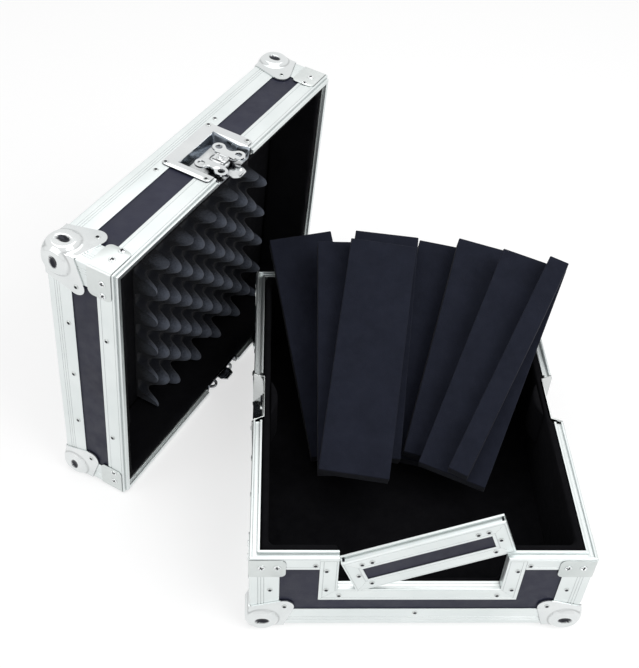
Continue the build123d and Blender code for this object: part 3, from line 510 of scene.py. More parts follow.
class Surface:
    """Gathers grids and caps of points in metres, and makes one mesh of them."""

    def __init__(self) -> None:
        """Starts empty."""
        self.points: list[np.ndarray] = []
        self.uvs: list[np.ndarray] = []
        self.faces: list[np.ndarray] = []
        self.slots: list[np.ndarray] = []
        self.count = 0

    def _add(self, points: np.ndarray, uv: np.ndarray | None, faces: np.ndarray, slot: int) -> None:
        """Appends faces.

        Args:
            points: points in metres.
            uv: their map coordinates, or None for zeros.
            faces: rows of indices into the points.
            slot: material slot of the faces.
        """
        flat = points.reshape(-1, 3)
        self.points.append(flat)
        self.uvs.append(np.zeros((len(flat), 2)) if uv is None else uv.reshape(-1, 2))
        self.faces.append(faces + self.count)
        self.slots.append(np.full(len(faces), slot))
        self.count += len(flat)

    def grid(self, points: np.ndarray, uv: np.ndarray | None = None, slot: int = 0) -> None:
        """Joins a grid's neighbouring points with four-sided faces.

        Args:
            points: grid of points in metres.
            uv: their map coordinates, or None for zeros.
            slot: material slot of the faces.
        """
        rows, columns = points.shape[:2]
        index = np.arange(rows * columns).reshape(rows, columns)
        quads = np.stack([index[:-1, :-1], index[1:, :-1], index[1:, 1:], index[:-1, 1:]], axis=-1)
        self._add(points, uv, quads.reshape(-1, 4), slot)

    def cap(self, ring: np.ndarray, uv: np.ndarray) -> None:
        """Closes a ring of points with one face."""
        self._add(ring, uv, np.arange(len(ring))[None, :], 0)

    def build(self, name: str, sharp: float = 35.0) -> bpy.types.Object:
        """Makes the mesh, merges shared points and turns its faces outwards.

        Args:
            name: the object's name.
            sharp: edges bent by more degrees than this keep a hard shade.

        Returns:
            The new object, at the origin.
        """
        points = np.concatenate(self.points)
        uv = np.concatenate(self.uvs)
        loops = np.concatenate([faces.ravel() for faces in self.faces])
        sizes = np.concatenate([np.full(len(faces), faces.shape[1]) for faces in self.faces])
        starts = np.cumsum(sizes) - sizes
        mesh = bpy.data.meshes.new(name)
        mesh.vertices.add(len(points))
        mesh.vertices.foreach_set("co", points.astype(np.float32).ravel())
        mesh.loops.add(len(loops))
        mesh.loops.foreach_set("vertex_index", loops.astype(np.int32))
        mesh.polygons.add(len(sizes))
        mesh.polygons.foreach_set("loop_start", starts.astype(np.int32))
        mesh.polygons.foreach_set("material_index", np.concatenate(self.slots).astype(np.int32))
        layer = mesh.uv_layers.new(name="UVMap")
        layer.data.foreach_set("uv", uv[loops].astype(np.float32).ravel())
        mesh.update(calc_edges=True)
        return settle(name, mesh, sharp)


def settle(name: str, mesh: bpy.types.Mesh, sharp: float) -> bpy.types.Object:
    """Merges a mesh's doubles, turns its faces outwards and shades it smooth between sharp edges.

    Args:
        name: the object's name.
        mesh: the mesh, with its points in the row frame.
        sharp: edges bent by more degrees than this keep a hard shade.

    Returns:
        A new object with the mesh, in the scene.
    """
    shape = bmesh.new()
    shape.from_mesh(mesh)
    bmesh.ops.remove_doubles(shape, verts=shape.verts, dist=MERGE)
    bmesh.ops.recalc_face_normals(shape, faces=shape.faces)
    shape.to_mesh(mesh)
    shape.free()
    mesh.polygons.foreach_set("use_smooth", np.ones(len(mesh.polygons), bool))
    mesh.set_sharp_from_angle(angle=np.radians(sharp))
    mesh.name = name
    return new_object(name, mesh)


def mesh_points(mesh: bpy.types.Mesh) -> np.ndarray:
    """A mesh's points in metres, as an array of three columns."""
    return read(mesh.vertices, "co", 3).astype(float)


def sink(mesh: bpy.types.Mesh, depths: np.ndarray) -> None:
    """Moves each point inwards along its normal.

    Args:
        mesh: the mesh.
        depths: each point's depth in metres.
    """
    points = mesh_points(mesh) - read(mesh.vertices, "normal", 3).astype(float) * depths[:, None]
    mesh.vertices.foreach_set("co", points.astype(np.float32).ravel())
    mesh.update()


def store(mesh: bpy.types.Mesh, name: str, values: np.ndarray) -> None:
    """Stores one number per point on a mesh, for its material to read."""
    layer = mesh.attributes.new(name, "FLOAT", "POINT")
    layer.data.foreach_set("value", values.astype(np.float32))


def bevelled_copy(node: str, width: float) -> bpy.types.Object:
    """Copy of a CAD node with its doubles merged and its sharp edges rounded.

    Args:
        node: the CAD node.
        width: width of the rounding in millimetres.

    Returns:
        The copy.
    """
    obj = settle(node + "_rounded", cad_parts[node].data.copy(), SHARP)
    bevel = obj.modifiers.new("rounded_edges", "BEVEL")
    bevel.width = width * MM
    bevel.segments = 2
    bevel.limit_method = "ANGLE"
    bevel.angle_limit = np.radians(SHARP)
    bevel.use_clamp_overlap = True
    bevel.harden_normals = True
    return obj


def rounded_piece(node: str, body: str, width: float, finish: Finish) -> None:
    """Puts a CAD node's rounded copy, of the given rounding in millimetres, in its place."""
    finish_piece(bevelled_copy(node, width), body, [finish], node)


def hollows(points: np.ndarray, depth: float, pitch: float, seed: int) -> np.ndarray:
    """Slight hollows: a sum of slow waves in three seeded directions, from 0 to depth.

    Args:
        points: points in metres.
        depth: deepest hollow in metres.
        pitch: length of a wave in metres.
        seed: seed of the directions and phases.

    Returns:
        One depth per point.
    """
    draw = np.random.default_rng(seed)
    ways = draw.normal(size=(3, 6))
    ways *= 2.0 * np.pi / pitch * draw.uniform(0.5, 1.5, 6) / np.linalg.norm(ways, axis=0)
    waves = np.cos(points @ ways + draw.uniform(0.0, 2.0 * np.pi, 6)).mean(axis=1)
    return depth * np.clip(0.5 + 0.9 * waves, 0.0, 1.0)


def soft_copy(name: str, node: str, voxel: float, depth: float, seed: int) -> bpy.types.Object:
    """Foam stand-in for a CAD node: even small faces, eased edges and slight hollows.

    The merged copy is remeshed to even voxels and smoothed. Each point then sinks along its
    normal by the depth that hollows() gives it, so nothing swells towards a neighbour.

    Args:
        name: the new piece's name.
        node: the CAD node.
        voxel: size of the faces in millimetres.
        depth: deepest hollow in millimetres.
        seed: seed of the hollows.

    Returns:
        The new piece.
    """
    rough = settle(name + "_rough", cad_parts[node].data.copy(), SHARP)
    remesh = rough.modifiers.new("even_faces", "REMESH")
    remesh.mode = "VOXEL"
    remesh.voxel_size = voxel * MM
    smooth = rough.modifiers.new("eased_edges", "SMOOTH")
    smooth.factor = 0.5
    smooth.iterations = 2
    bpy.context.view_layer.update()
    evaluated = rough.evaluated_get(bpy.context.evaluated_depsgraph_get())
    mesh = bpy.data.meshes.new_from_object(evaluated)
    bpy.data.objects.remove(rough)
    wave, clearance = 0.09, 0.1 * MM
    sink(mesh, hollows(mesh_points(mesh), depth * MM, wave, seed) + clearance)
    return settle(name, mesh, 60.0)


def extruded_piece(surface: Surface, name: str, body: str, node: str) -> None:
    """Makes gathered lengths of extrusion one anodised piece that stands for a CAD node."""
    finish_piece(surface.build(name), body, [Finish.ANODISED], node)


def padded_piece(obj: bpy.types.Object, body: str, finish: Finish, node: str) -> None:
    """Finishes a foam piece that stands for one CAD node."""
    finish_piece(obj, body, [finish], node)


@dataclass(frozen=True)
class Place:
    """A piece's own coordinates in millimetres, set in the row frame.

    Attributes:
        origin: where the piece's own origin is, in metres.
        axes: its x, y and z directions, one a row.
    """

    origin: np.ndarray
    axes: np.ndarray

    def put(self, points: np.ndarray) -> np.ndarray:
        """The origin plus each coordinate times its axis, in metres."""
        return self.origin + MM * (points @ self.axes)

    def take(self, points: np.ndarray) -> np.ndarray:
        """Points of the row frame, in metres, in the piece's own millimetres."""
        return (points - self.origin) @ self.axes.T / MM


def mark_walls(mesh: bpy.types.Mesh, wall: Place) -> None:
    """Gives a dish its second finish, the dark chrome of painted shade and reflection, on its pocket's walls, which
    face neither outwards nor inwards.

    Args:
        mesh: the dish's mesh.
        wall: the wall that it is in, whose third axis faces outwards.
    """
    sunk, facing = -0.5, 0.85
    height = wall.take(read(mesh.polygons, "center", 3).astype(float))[:, 2]
    lean = np.abs(read(mesh.polygons, "normal", 3) @ wall.axes[2])
    mesh.polygons.foreach_set("material_index", ((height < sunk) & (lean < facing)).astype(np.int32))


# Extrusions

CORNER_SIGNS = ((1, 1), (-1, 1), (-1, -1), (1, -1))


def rounded_outline(
    corners: np.ndarray, radii: np.ndarray, grooves: dict[int, tuple[float, ...]], depth: float
) -> np.ndarray:
    """Closed outline with rounded corners and fine grooves.

    Each corner is the quadratic curve (1-t)^2 A + 2t(1-t) P + t^2 B, from the point A a radius
    before the corner P to the point B a radius after it. Each groove dips inwards by depth over
    its middle half.

    Args:
        corners: corner points in order, in millimetres.
        radii: radius at each corner.
        grooves: for a side's number, distances of its grooves from its first corner.
        depth: depth of a groove in millimetres.

    Returns:
        The outline's points, in order.
    """
    ahead = np.roll(corners, -1, axis=0) - corners
    length = np.linalg.norm(ahead, axis=1)
    ahead = ahead / length[:, None]
    area = np.sum(corners[:, 0] * np.roll(corners[:, 1], -1) - corners[:, 1] * np.roll(corners[:, 0], -1))
    inward = np.stack([-ahead[:, 1], ahead[:, 0]], axis=1) * np.sign(area)
    t = np.linspace(0.0, 1.0, 5)[:, None]
    pieces = []
    for i, corner in enumerate(corners):
        before = corner - ahead[i - 1] * radii[i]
        after = corner + ahead[i] * radii[i]
        pieces.append((1 - t) ** 2 * before + 2 * t * (1 - t) * corner + t**2 * after)
        for start in grooves.get(i, ()):
            steps = start + np.array([-0.45, -0.2, 0.2, 0.45])
            dips = np.array([0.0, depth, depth, 0.0])
            pieces.append(corner + ahead[i] * steps[:, None] + inward[i] * dips[:, None])
    return np.concatenate(pieces)


@dataclass(frozen=True)
class Run:
    """One straight length of extrusion.

    Attributes:
        origin: a point on the profile's own origin line, in the shell's millimetres.
        across: direction of the profile's first coordinate.
        up: direction of its second coordinate.
        along: direction of the run.
        start: where it starts along that direction.
        end: where it ends.
        start_taper: how far the start moves per unit of each profile coordinate.
        end_taper: how far the end moves.
    """

    origin: tuple[float, float, float]
    across: tuple[float, float, float]
    up: tuple[float, float, float]
    along: tuple[float, float, float]
    start: float
    end: float
    start_taper: tuple[float, float] = (0.0, 0.0)
    end_taper: tuple[float, float] = (0.0, 0.0)

    def sweep(self, surface: Surface, place: Place, outline: np.ndarray) -> None:
        """Adds the run: each outline point carried from its start to its end, and two end caps.

        Args:
            surface: gathers the faces.
            place: sets the shell's millimetres in the row frame.
            outline: the profile's outline.
        """
        ring = np.concatenate([outline, outline[:1]])
        section = np.array(self.origin) + ring[:, :1] * np.array(self.across) + ring[:, 1:] * np.array(self.up)
        start = self.start + ring @ np.array(self.start_taper)
        end = self.end + ring @ np.array(self.end_taper)
        around = np.concatenate([[0.0], np.cumsum(np.linalg.norm(np.diff(ring, axis=0), axis=1))])
        steps = np.stack([start, end])
        points = section + steps[:, :, None] * np.array(self.along)
        uv = np.stack([steps, np.broadcast_to(around, steps.shape)], axis=-1) * MM
        surface.grid(place.put(points), uv)
        for side in (0, 1):
            surface.cap(place.put(points[side, :-1]), uv[side, :-1])


class Mitre(Enum):
    """Which way mitred ends shorten with the two profile coordinates."""

    BOX = (-1.0, 0.0)
    OPENING = (0.0, -1.0)
    INSERT = (0.0, 1.0)
    SQUARE = (0.0, 0.0)

    def ends(self) -> tuple[tuple[float, float], tuple[float, float]]:
        """Tapers of the start and the end of a run that is mitred alike at both."""
        return tuple(-np.array(self.value)), self.value


@dataclass(frozen=True)
class Profiles:
    """Aluminium extrusions' outlines, in millimetres from their outer corner."""

    gauge: float = 1.5
    board: float = 9.0
    lip: float = 15.0
    groove_width: float = 6.0
    groove_depth: float = 4.0
    tongue_width: float = 5.4
    tongue_height: float = 3.6
    line_depth: float = 0.35
    line_shares: tuple[float, float, float] = (0.28, 0.38, 0.48)
    rim_line_share: float = 0.2
    rim_line_inset: float = 2.6
    top_line_inset: float = 3.6

    def angle(self, leg: float, corner: float) -> np.ndarray:
        """Equal angle with a rounded outer corner and fine lines on both outer faces.

        Args:
            leg: length of both legs.
            corner: radius of the outer corner.

        Returns:
            The outline's points.
        """
        g = self.gauge
        corners = np.array([(0, 0), (leg, 0), (leg, g), (g, g), (g, leg), (0, leg)], float)
        radii = np.array([corner, 0.5, 0.5, 0.4, 0.5, 0.5])
        lines = np.array(self.line_shares) * leg
        return rounded_outline(corners, radii, {0: lines, 5: leg - lines[::-1]}, self.line_depth)

    def rim(self, flange: float, rise: float, width: float) -> np.ndarray:
        """Rim section: outer flange, a top that dips or rises in its middle, and the inner lip.

        Args:
            flange: height of the outer flange.
            rise: height of the tongue, or less than 0 for a groove.
            width: width of the tongue or groove.

        Returns:
            The outline's points.
        """
        g = self.gauge
        wall = self.board + 2 * g
        inner = g + self.board
        near = (wall - width) / 2
        under = min(rise, 0.0) - g
        corners = [(0, -flange), (0, 0)]
        if width:
            corners += [(near, 0), (near, rise), (wall - near, rise), (wall - near, 0)]
        corners += [(wall, 0), (wall, -self.lip), (inner, -self.lip)]
        corners += [(inner, under), (g, under), (g, -flange)]
        outline = np.array(corners, float)
        radii = np.full(len(outline), 0.4)
        radii[1] = 1.1
        lines = {0: (flange * self.rim_line_share, flange - self.rim_line_inset)}
        if not width:
            lines[1] = (self.top_line_inset, wall - self.top_line_inset)
        return rounded_outline(outline, radii, lines, self.line_depth)

    def cap(self, rise: float, width: float) -> np.ndarray:
        """The rim section's top alone, down to the underside of its groove.

        Args:
            rise: height of the tongue, or less than 0 for a groove.
            width: width of the tongue or groove.

        Returns:
            The outline's points.
        """
        wall = self.board + 2 * self.gauge
        near = (wall - width) / 2
        under = min(rise, 0.0) - self.gauge
        corners = [(0, under), (0, 0), (near, 0), (near, rise)]
        corners += [(wall - x, y) for x, y in corners[::-1]]
        return rounded_outline(np.array(corners, float), np.full(len(corners), 0.4), {}, 0.0)


@dataclass(frozen=True)
class Shell:
    """One shell of the case, base or lid, in its own millimetres: closed face at 0, rim at height."""

    title: str
    body: str
    place: Place
    height: float
    rim_flange: float
    width: float = CASE_WIDTH
    depth: float = CASE_DEPTH
    edge_leg: float = 33.0
    post_leg: float = 35.0
    rim_gap: float = 83.0
    mitre_gap: float = 0.1
    ball_cover: float = 26.0
    fit: float = 0.3
    profiles: Profiles = Profiles()

    def edge(self, side: int, height: float, start: float, end: float, tapers: tuple[Mitre, Mitre]) -> Run:
        """A run along one of the four box edges.

        Args:
            side: number of the box edge: front, right, back, left.
            height: height of the edge over the closed face.
            start: where the run starts along the edge, from its middle.
            end: where it ends.
            tapers: its mitres at the start and the end.

        Returns:
            The run, whose profile's first coordinate goes inward.
        """
        along = [(1, 0, 0), (0, 1, 0), (-1, 0, 0), (0, -1, 0)][side]
        inward = [(0, 1, 0), (-1, 0, 0), (0, -1, 0), (1, 0, 0)][side]
        reach = (self.depth, self.width)[side % 2] / 2
        origin = tuple(-reach * np.array(inward) + np.array((0, 0, height)))
        first = tuple(-np.array(tapers[0].value))
        return Run(origin, inward, (0, 0, 1), along, start, end, first, tapers[1].value)

    def half(self, side: int) -> float:
        """Half the length of a box edge, less the mitre gap."""
        return (self.width, self.depth)[side % 2] / 2 - self.mitre_gap

    def rim_bars(self, name: str, node: str, sides: tuple[int, ...], outline: np.ndarray, gap: float) -> None:
        """Mitred rim bars, each cut at mid-length by the gap where there is one.

        Args:
            name: the piece's name.
            node: the CAD node.
            sides: numbers of the box edges.
            outline: the profile's outline.
            gap: length that the dish takes out of the middle, or 0.
        """
        surface = Surface()
        box, square = Mitre.BOX, Mitre.SQUARE
        for side in sides:
            half = self.half(side)
            spans = [(-half, half, (box, box))]
            if gap:
                spans = [(-half, -gap / 2, (box, square)), (gap / 2, half, (square, box))]
            for start, end, tapers in spans:
                self.edge(side, self.height, start, end, tapers).sweep(surface, self.place, outline)
        extruded_piece(surface, name, self.body, node)

    def edging(self, name: str) -> None:
        """Angles round the closed face, stopping under the ball corners.

        Args:
            name: the edging's part of the CAD node's name.
        """
        surface = Surface()
        outline = self.profiles.angle(self.edge_leg, 2.2)
        for side in range(4):
            end = (self.width, self.depth)[side % 2] / 2 - self.ball_cover
            self.edge(side, 0.0, -end, end, (Mitre.SQUARE, Mitre.SQUARE)).sweep(surface, self.place, outline)
        extruded_piece(surface, f"{self.title}_{name}_bars", self.body, f"{self.title}_{name}")

    def posts(self) -> None:
        """Upright corner angles between the edging and the rim bars."""
        surface = Surface()
        outline = self.profiles.angle(self.post_leg, 2.5)
        low, high = self.edge_leg + self.fit, self.height - self.rim_flange - self.fit
        for sx, sy in CORNER_SIGNS:
            origin = (sx * self.width / 2, sy * self.depth / 2, 0.0)
            Run(origin, (-sx, 0, 0), (0, -sy, 0), (0, 0, 1), low, high).sweep(surface, self.place, outline)
        extruded_piece(surface, f"{self.title}_post_angles", self.body, f"{self.title}_corner_posts")

    def boards(self, closed_side: str) -> None:
        """Dresses the five panels, the edging of the closed one and the posts.

        Args:
            closed_side: name of the closed face, bottom or top.
        """
        for side in (closed_side, "front", "back", "left", "right"):
            paint(f"{self.title}_{side}_panel", Finish.LAMINATE)
        self.edging(f"{closed_side}_edging")
        self.posts()

    def corners(self) -> None:
        """Ball corners of the closed face and braces of the rim."""
        made = BallCorner().build(f"{self.title}_ball_corner_shells", self)
        finish_piece(made, self.body, [Finish.CORNER], f"{self.title}_ball_corners")
        rounded_piece(f"{self.title}_rim_braces", self.body, 0.4, Finish.ZINC)

    def linings(self, *pieces: tuple[str, str, float, float, int]) -> None:
        """Foam linings: each one's name, CAD node, size of faces, depth of hollows and their seed."""
        for piece in pieces:
            padded_piece(soft_copy(*piece), self.body, Finish.LINING_FOAM, piece[1])

    def wall(self, side: str) -> Place:
        """A wall's own coordinates.

        Args:
            side: the wall's name.

        Returns:
            Coordinates with x along it, y up to the rim and z outward, from its foot's middle.
        """
        out = {"front": (0, -1, 0), "back": (0, 1, 0), "left": (-1, 0, 0), "right": (1, 0, 0)}[side]
        along = tuple(1 - abs(share) for share in out[:2]) + (0,)
        reach = (self.depth if along[0] else self.width) / 2
        axes = np.array([along, (0, 0, 1), out], float)
        origin = self.place.put(np.array(out, float) * reach)
        return Place(origin, axes @ self.place.axes)


# Ball corners


@dataclass(frozen=True)
class BallCorner:
    """Pressed steel corner: three riveted petals that flow into a ball with flattened, dimpled sides.

    Its coordinates are distances inward from the case's corner along the three edges.
    """

    gauge: float = PETAL_GAUGE
    root: float = 40.4
    ear_radius: float = 12.0
    ball: float = 26.0
    inset: float = 15.0
    foot: float = BALL_FLAT
    dimple_radius: float = 9.5
    dimple_depth: float = 2.4
    dimple_ratio: float = 1.6
    blend: float = 2.6
    eye: float = 40.0
    steps: int = 46
    edge_round: float = 0.6
    plate_bend: float = 1.2
    ball_bend: float = 1.0
    dimple_bend: float = 0.5
    crease_width: float = 0.9
    crease_dark: float = 0.35
    dimple_dark: float = 0.97

    def outline(self) -> tuple[np.ndarray, np.ndarray]:
        """Edge of a petal, from one case edge to the other, with its outward normals.

        A straight side runs from the root to where it touches the ear's circle, then the arc,
        then the mirrored side.

        Returns:
            Points in the petal's plane, and their normals.
        """
        reach = np.arcsin(self.ear_radius / self.root)
        first = -reach
        arc = np.linspace(first, np.pi / 2 - first, 26)
        circle = self.root + self.ear_radius * np.stack([np.cos(arc), np.sin(arc)], axis=1)
        foot = np.array([self.root, 0.0])
        share = np.linspace(0.0, 1.0, 15)[:-1, None]
        side = foot + share * (circle[0] - foot)
        other = side[::-1, ::-1]
        points = np.concatenate([side, circle, other])
        slope = np.gradient(points, axis=0)
        normals = np.stack([slope[:, 1], -slope[:, 0]], axis=1)
        normals /= np.linalg.norm(normals, axis=1)[:, None]
        normals[0], normals[-1] = (1.0, 0.0), (0.0, 1.0)
        return points, normals

    def plates(self, p: np.ndarray) -> np.ndarray:
        """Signed distance outside the case's corner grown by the gauge, its edges eased."""
        return np.log(np.exp(-(p + self.gauge) * self.plate_bend).sum(axis=-1)) / self.plate_bend

    def ball_body(self, p: np.ndarray) -> np.ndarray:
        """Signed distance outside the sphere cut by its three flats."""
        sphere = np.linalg.norm(p - self.inset, axis=-1) - self.ball
        return self.soft_max(sphere, (-p - self.foot).max(axis=-1), self.ball_bend)

    def dimples(self, p: np.ndarray) -> np.ndarray:
        """Distance inside the nearest of the three shallow oval dimples in the flats.

        Args:
            p: points, as inward distances.

        Returns:
            The distance, above 0 inside.
        """
        curve = (self.dimple_radius**2 + self.dimple_depth**2) / (2 * self.dimple_depth)
        reach = self.inset + self.foot + curve - self.dimple_depth
        middles = -reach * np.eye(3)
        squeeze = 1.0 + (self.dimple_ratio - 1.0) * np.roll(np.eye(3), 1, axis=1)
        away = np.linalg.norm(((p - self.inset)[..., None, :] - middles) * squeeze, axis=-1)
        return curve - away.min(axis=-1)

    def depth_of(self, p: np.ndarray) -> np.ndarray:
        """Signed distance outside the corner: plates and dimpled ball, joined by a smooth minimum.

        Args:
            p: points, as inward distances.

        Returns:
            The distance, below 0 inside.
        """
        ball = self.soft_max(self.ball_body(p), self.dimples(p), self.dimple_bend)
        return -self.soft_max(-self.plates(p), -ball, self.blend)

    def unshaded_share(self, p: np.ndarray) -> np.ndarray:
        """The chrome's share without painted shade: 1 on the faces, lower in the crease round the ball and in the
        dimples, where shade and dark reflections are painted.

        The crease is where the plates' and the ball's distances are alike, and it falls off as
        exp(-(difference / width)^2). In a dimple it falls with the depth under the flat.

        Args:
            p: points, as inward distances.

        Returns:
            Values from 0 to 1.
        """
        ball, dimple = self.ball_body(p), self.dimples(p)
        crease = np.exp(-(((self.plates(p) - np.maximum(ball, dimple)) / self.crease_width) ** 2))
        inside = np.clip((dimple - ball) / self.dimple_depth * 5.0 - 0.6, 0.0, 1.0)
        return np.clip(1.0 - self.crease_dark * crease - self.dimple_dark * inside, 0.0, 1.0)

    @staticmethod
    def soft_max(a: np.ndarray, b: np.ndarray, width: float) -> np.ndarray:
        """Larger of two values, rounded where they are within a width of each other."""
        near = np.clip(0.5 + 0.5 * (a - b) / width, 0.0, 1.0)
        return b + (a - b) * near + width * near * (1.0 - near)

    def petal(self) -> np.ndarray:
        """Grid of one petal and its third of the ball, with its rolled edge and its underside.

        Each point of the case's face is pushed away from a point deep inside until it meets the
        surface, found by halving.

        Returns:
            Rows from the tip outwards, over the edge and back, as inward distances.
        """
        edge, normals = self.outline()
        share = np.linspace(0.0, 1.0, self.steps)[:, None, None]
        flat = share * edge
        target = np.concatenate([flat, np.zeros((*flat.shape[:2], 1))], axis=-1)
        eye = np.full(3, self.eye)
        ray = target - eye
        farthest, halvings = 1.6, 30
        low, high = np.ones(ray.shape[:2]), np.full(ray.shape[:2], farthest)
        for _ in range(halvings):
            middle = (low + high) / 2
            outside = self.depth_of(eye + ray * middle[..., None]) > 0
            high = np.where(outside, middle, high)
            low = np.where(outside, low, middle)
        top = eye + ray * high[..., None]
        rolled = []
        for out, height in ((0.8, 0.75), (1.0, 0.4), (1.0, 0.0)):
            ring = np.full((1, len(edge), 3), -height * self.gauge)
            ring[0, :, :2] = edge + normals * out * self.edge_round
            ring[0, 0, 1] = ring[0, -1, 0] = -height * self.gauge
            rolled.append(ring)
        return np.concatenate([top, *rolled, target[::-1]])

    def build(self, name: str, shell: Shell) -> bpy.types.Object:
        """The four corners of a shell's closed face, each of three petals turned about the tip.

        Args:
            name: the piece's name.
            shell: the shell that they are on.

        Returns:
            The new piece.
        """
        surface = Surface()
        petal = self.petal()
        for sx, sy in CORNER_SIGNS:
            tip = np.array([sx * shell.width / 2, sy * shell.depth / 2, 0.0])
            signs = np.array([-sx, -sy, 1.0])
            for turn in range(3):
                surface.grid(shell.place.put(tip + np.roll(petal, turn, axis=-1) * signs))
        obj = surface.build(name, 50.0)
        inward = shell.place.take(mesh_points(obj.data))
        inward[:, :2] = np.array([shell.width, shell.depth]) / 2 - np.abs(inward[:, :2])
        # Painted shade in the crease and the dimples, for the corner's chrome to read.
        store(obj.data, "unshaded_share", self.unshaded_share(inward))
        return obj


# Fasteners


def turned(profile: np.ndarray, around: int) -> np.ndarray:
    """A profile of radius and height turned round the z axis.

    Args:
        profile: rows of radius and height.
        around: faces round the axis.

    Returns:
        Grid of points, one row per profile point.
    """
    angle = np.linspace(0.0, 2.0 * np.pi, around + 1)
    ring = np.stack([np.cos(angle), np.sin(angle)], axis=1)
    points = np.empty((len(profile), around + 1, 3))
    points[..., :2] = profile[:, None, :1] * ring
    points[..., 2] = profile[:, None, 1]
    return points


@dataclass(frozen=True)
class Rivet:
    """Blind rivet: a domed flange with a hole where its mandrel broke off, the steel in it darkened with painted
    shade.
    """

    radius: float = 3.4
    height: float = 1.1
    hole: float = 2.1

    def add(self, surface: Surface, place: Place, x: float, y: float, z: float) -> None:
        """Adds one rivet: a turned flange, and a turned bore with the dark finish of steel and painted shade.

        Args:
            surface: gathers the faces.
            place: the place that it stands in.
            x: the rivet's middle, first coordinate.
            y: second coordinate.
            z: third coordinate.
        """
        r, h, b = self.radius, self.height, self.hole
        flange = [(0, -0.2), (r, -0.2), (r, 0.15 * h), (0.86 * r, 0.6 * h), (0.6 * r, 0.93 * h)]
        brim = [(b + 0.3, h), (b, 0.8 * h)]
        bore = [(b, 0.8 * h), (b * 0.9, 0.1 * h), (0, 0.1 * h)]
        for slot, profile in enumerate((flange + brim, bore)):
            surface.grid(place.put(turned(np.array(profile), 18) + (x, y, z)), slot=slot)


@dataclass(frozen=True)
class Screw:
    """Domed screw head with a cross-shaped recess."""

    radius: float = 4.2
    height: float = 1.9
    arm: float = 3.2
    slot: float = 0.8
    deep: float = 1.2
    side: float = 0.3
    end: float = 0.8

    def add(self, surface: Surface, place: Place, x: float, y: float, z: float, turn: float) -> None:
        """Adds one head on a place's own point: a dome less a smooth cross.

        The dome's height is H sqrt(1 - 0.9 (r/R)^2), and the cross takes away its depth where a
        point is within a slot's half width of either arm's line.

        Args:
            surface: gathers the faces.
            place: the place that it stands in.
            x: the head's middle, first coordinate.
            y: second coordinate.
            z: third coordinate.
            turn: angle of the cross in degrees.
        """
        radii = np.concatenate([np.linspace(0.0, 0.84, 15), [0.92, 1.0]]) * self.radius
        dome = self.height * np.sqrt(1.0 - 0.9 * (radii / self.radius) ** 2)
        head = turned(np.stack([radii, dome], axis=1), 48)
        spin = np.radians(turn)
        a = head[..., 0] * np.cos(spin) + head[..., 1] * np.sin(spin)
        b = head[..., 1] * np.cos(spin) - head[..., 0] * np.sin(spin)
        lines = np.abs(np.stack([a, b]))
        narrow = np.clip(1.0 - (lines - self.slot) / self.side, 0.0, 1.0)
        within = np.clip((self.arm - lines) / self.end, 0.0, 1.0)
        cross = (narrow * within[::-1]).max(axis=0)
        head[..., 2] -= self.deep * cross
        foot = turned(np.array([(self.radius, 0.55), (self.radius, -0.2), (0.0, -0.2)]), 48)
        # The map's first coordinate carries the cross's painted shade: 0 deep in the cross, 1 elsewhere.
        shade_free = np.ones((len(head) + len(foot), head.shape[1], 2))
        shade_free[: len(head), :, 0] = 1.0 - cross
        surface.grid(place.put(np.concatenate([head, foot]) + (x, y, z)), shade_free)


class Fixings:
    """Rivets and screws of one body."""

    def __init__(self, title: str, body: str) -> None:
        """Starts without any.

        Args:
            title: start of the two pieces' names.
            body: the CAD body that they ride on.
        """
        self.title = title
        self.body = body
        self.rivets = Surface()
        self.screws = Surface()
        self.turn = 25.0

    def rivet(self, place: Place, lift: float, *spots: tuple[float, float]) -> None:
        """Rivets at some spots of a wall and at their mirror images.

        Args:
            place: the wall.
            lift: gauge of the metal that they stand on.
            spots: their distances along and up.
        """
        for along, up in spots:
            for x in {along, -along}:
                Rivet().add(self.rivets, place, x, up, lift)

    def petals(self, shell: Shell) -> None:
        """A rivet in the ear of each ball corner's petals on the four walls.

        Args:
            shell: the shell with the corners.
        """
        for sides, length in ((("front", "back"), shell.width), (("left", "right"), shell.depth)):
            for side in sides:
                self.rivet(shell.wall(side), PETAL_GAUGE, (length / 2 - EAR_INSET, EAR_INSET))

    def screw(self, place: Place, along: float, up: float) -> None:
        """A screw in a brace, its cross turned on from the last one's."""
        Screw().add(self.screws, place, along, up, BRACE_GAUGE, self.turn)
        self.turn += 37.0

    def dress(self) -> None:
        """Makes all rivets one piece and all screws another, whose crosses get painted shade."""
        made = self.rivets.build(self.title + "_rivets", SHARP)
        finish_piece(made, self.body, [Finish.RIVET, Finish.MANDREL_SHADE])
        if self.screws.count:
            made = self.screws.build(self.title + "_screws", SHARP)
            # Painted shade in the screws' crosses, carried by the map's first coordinate.
            shade_free = np.ones(len(made.data.vertices))
            corners = read(made.data.loops, "vertex_index", kind=np.int32)
            shade_free[corners] = read(made.data.uv_layers[0].data, "uv", 2)[:, 0]
            store(made.data, "unshaded_share", shade_free)
            finish_piece(made, self.body, [Finish.SCREW])


# Foam


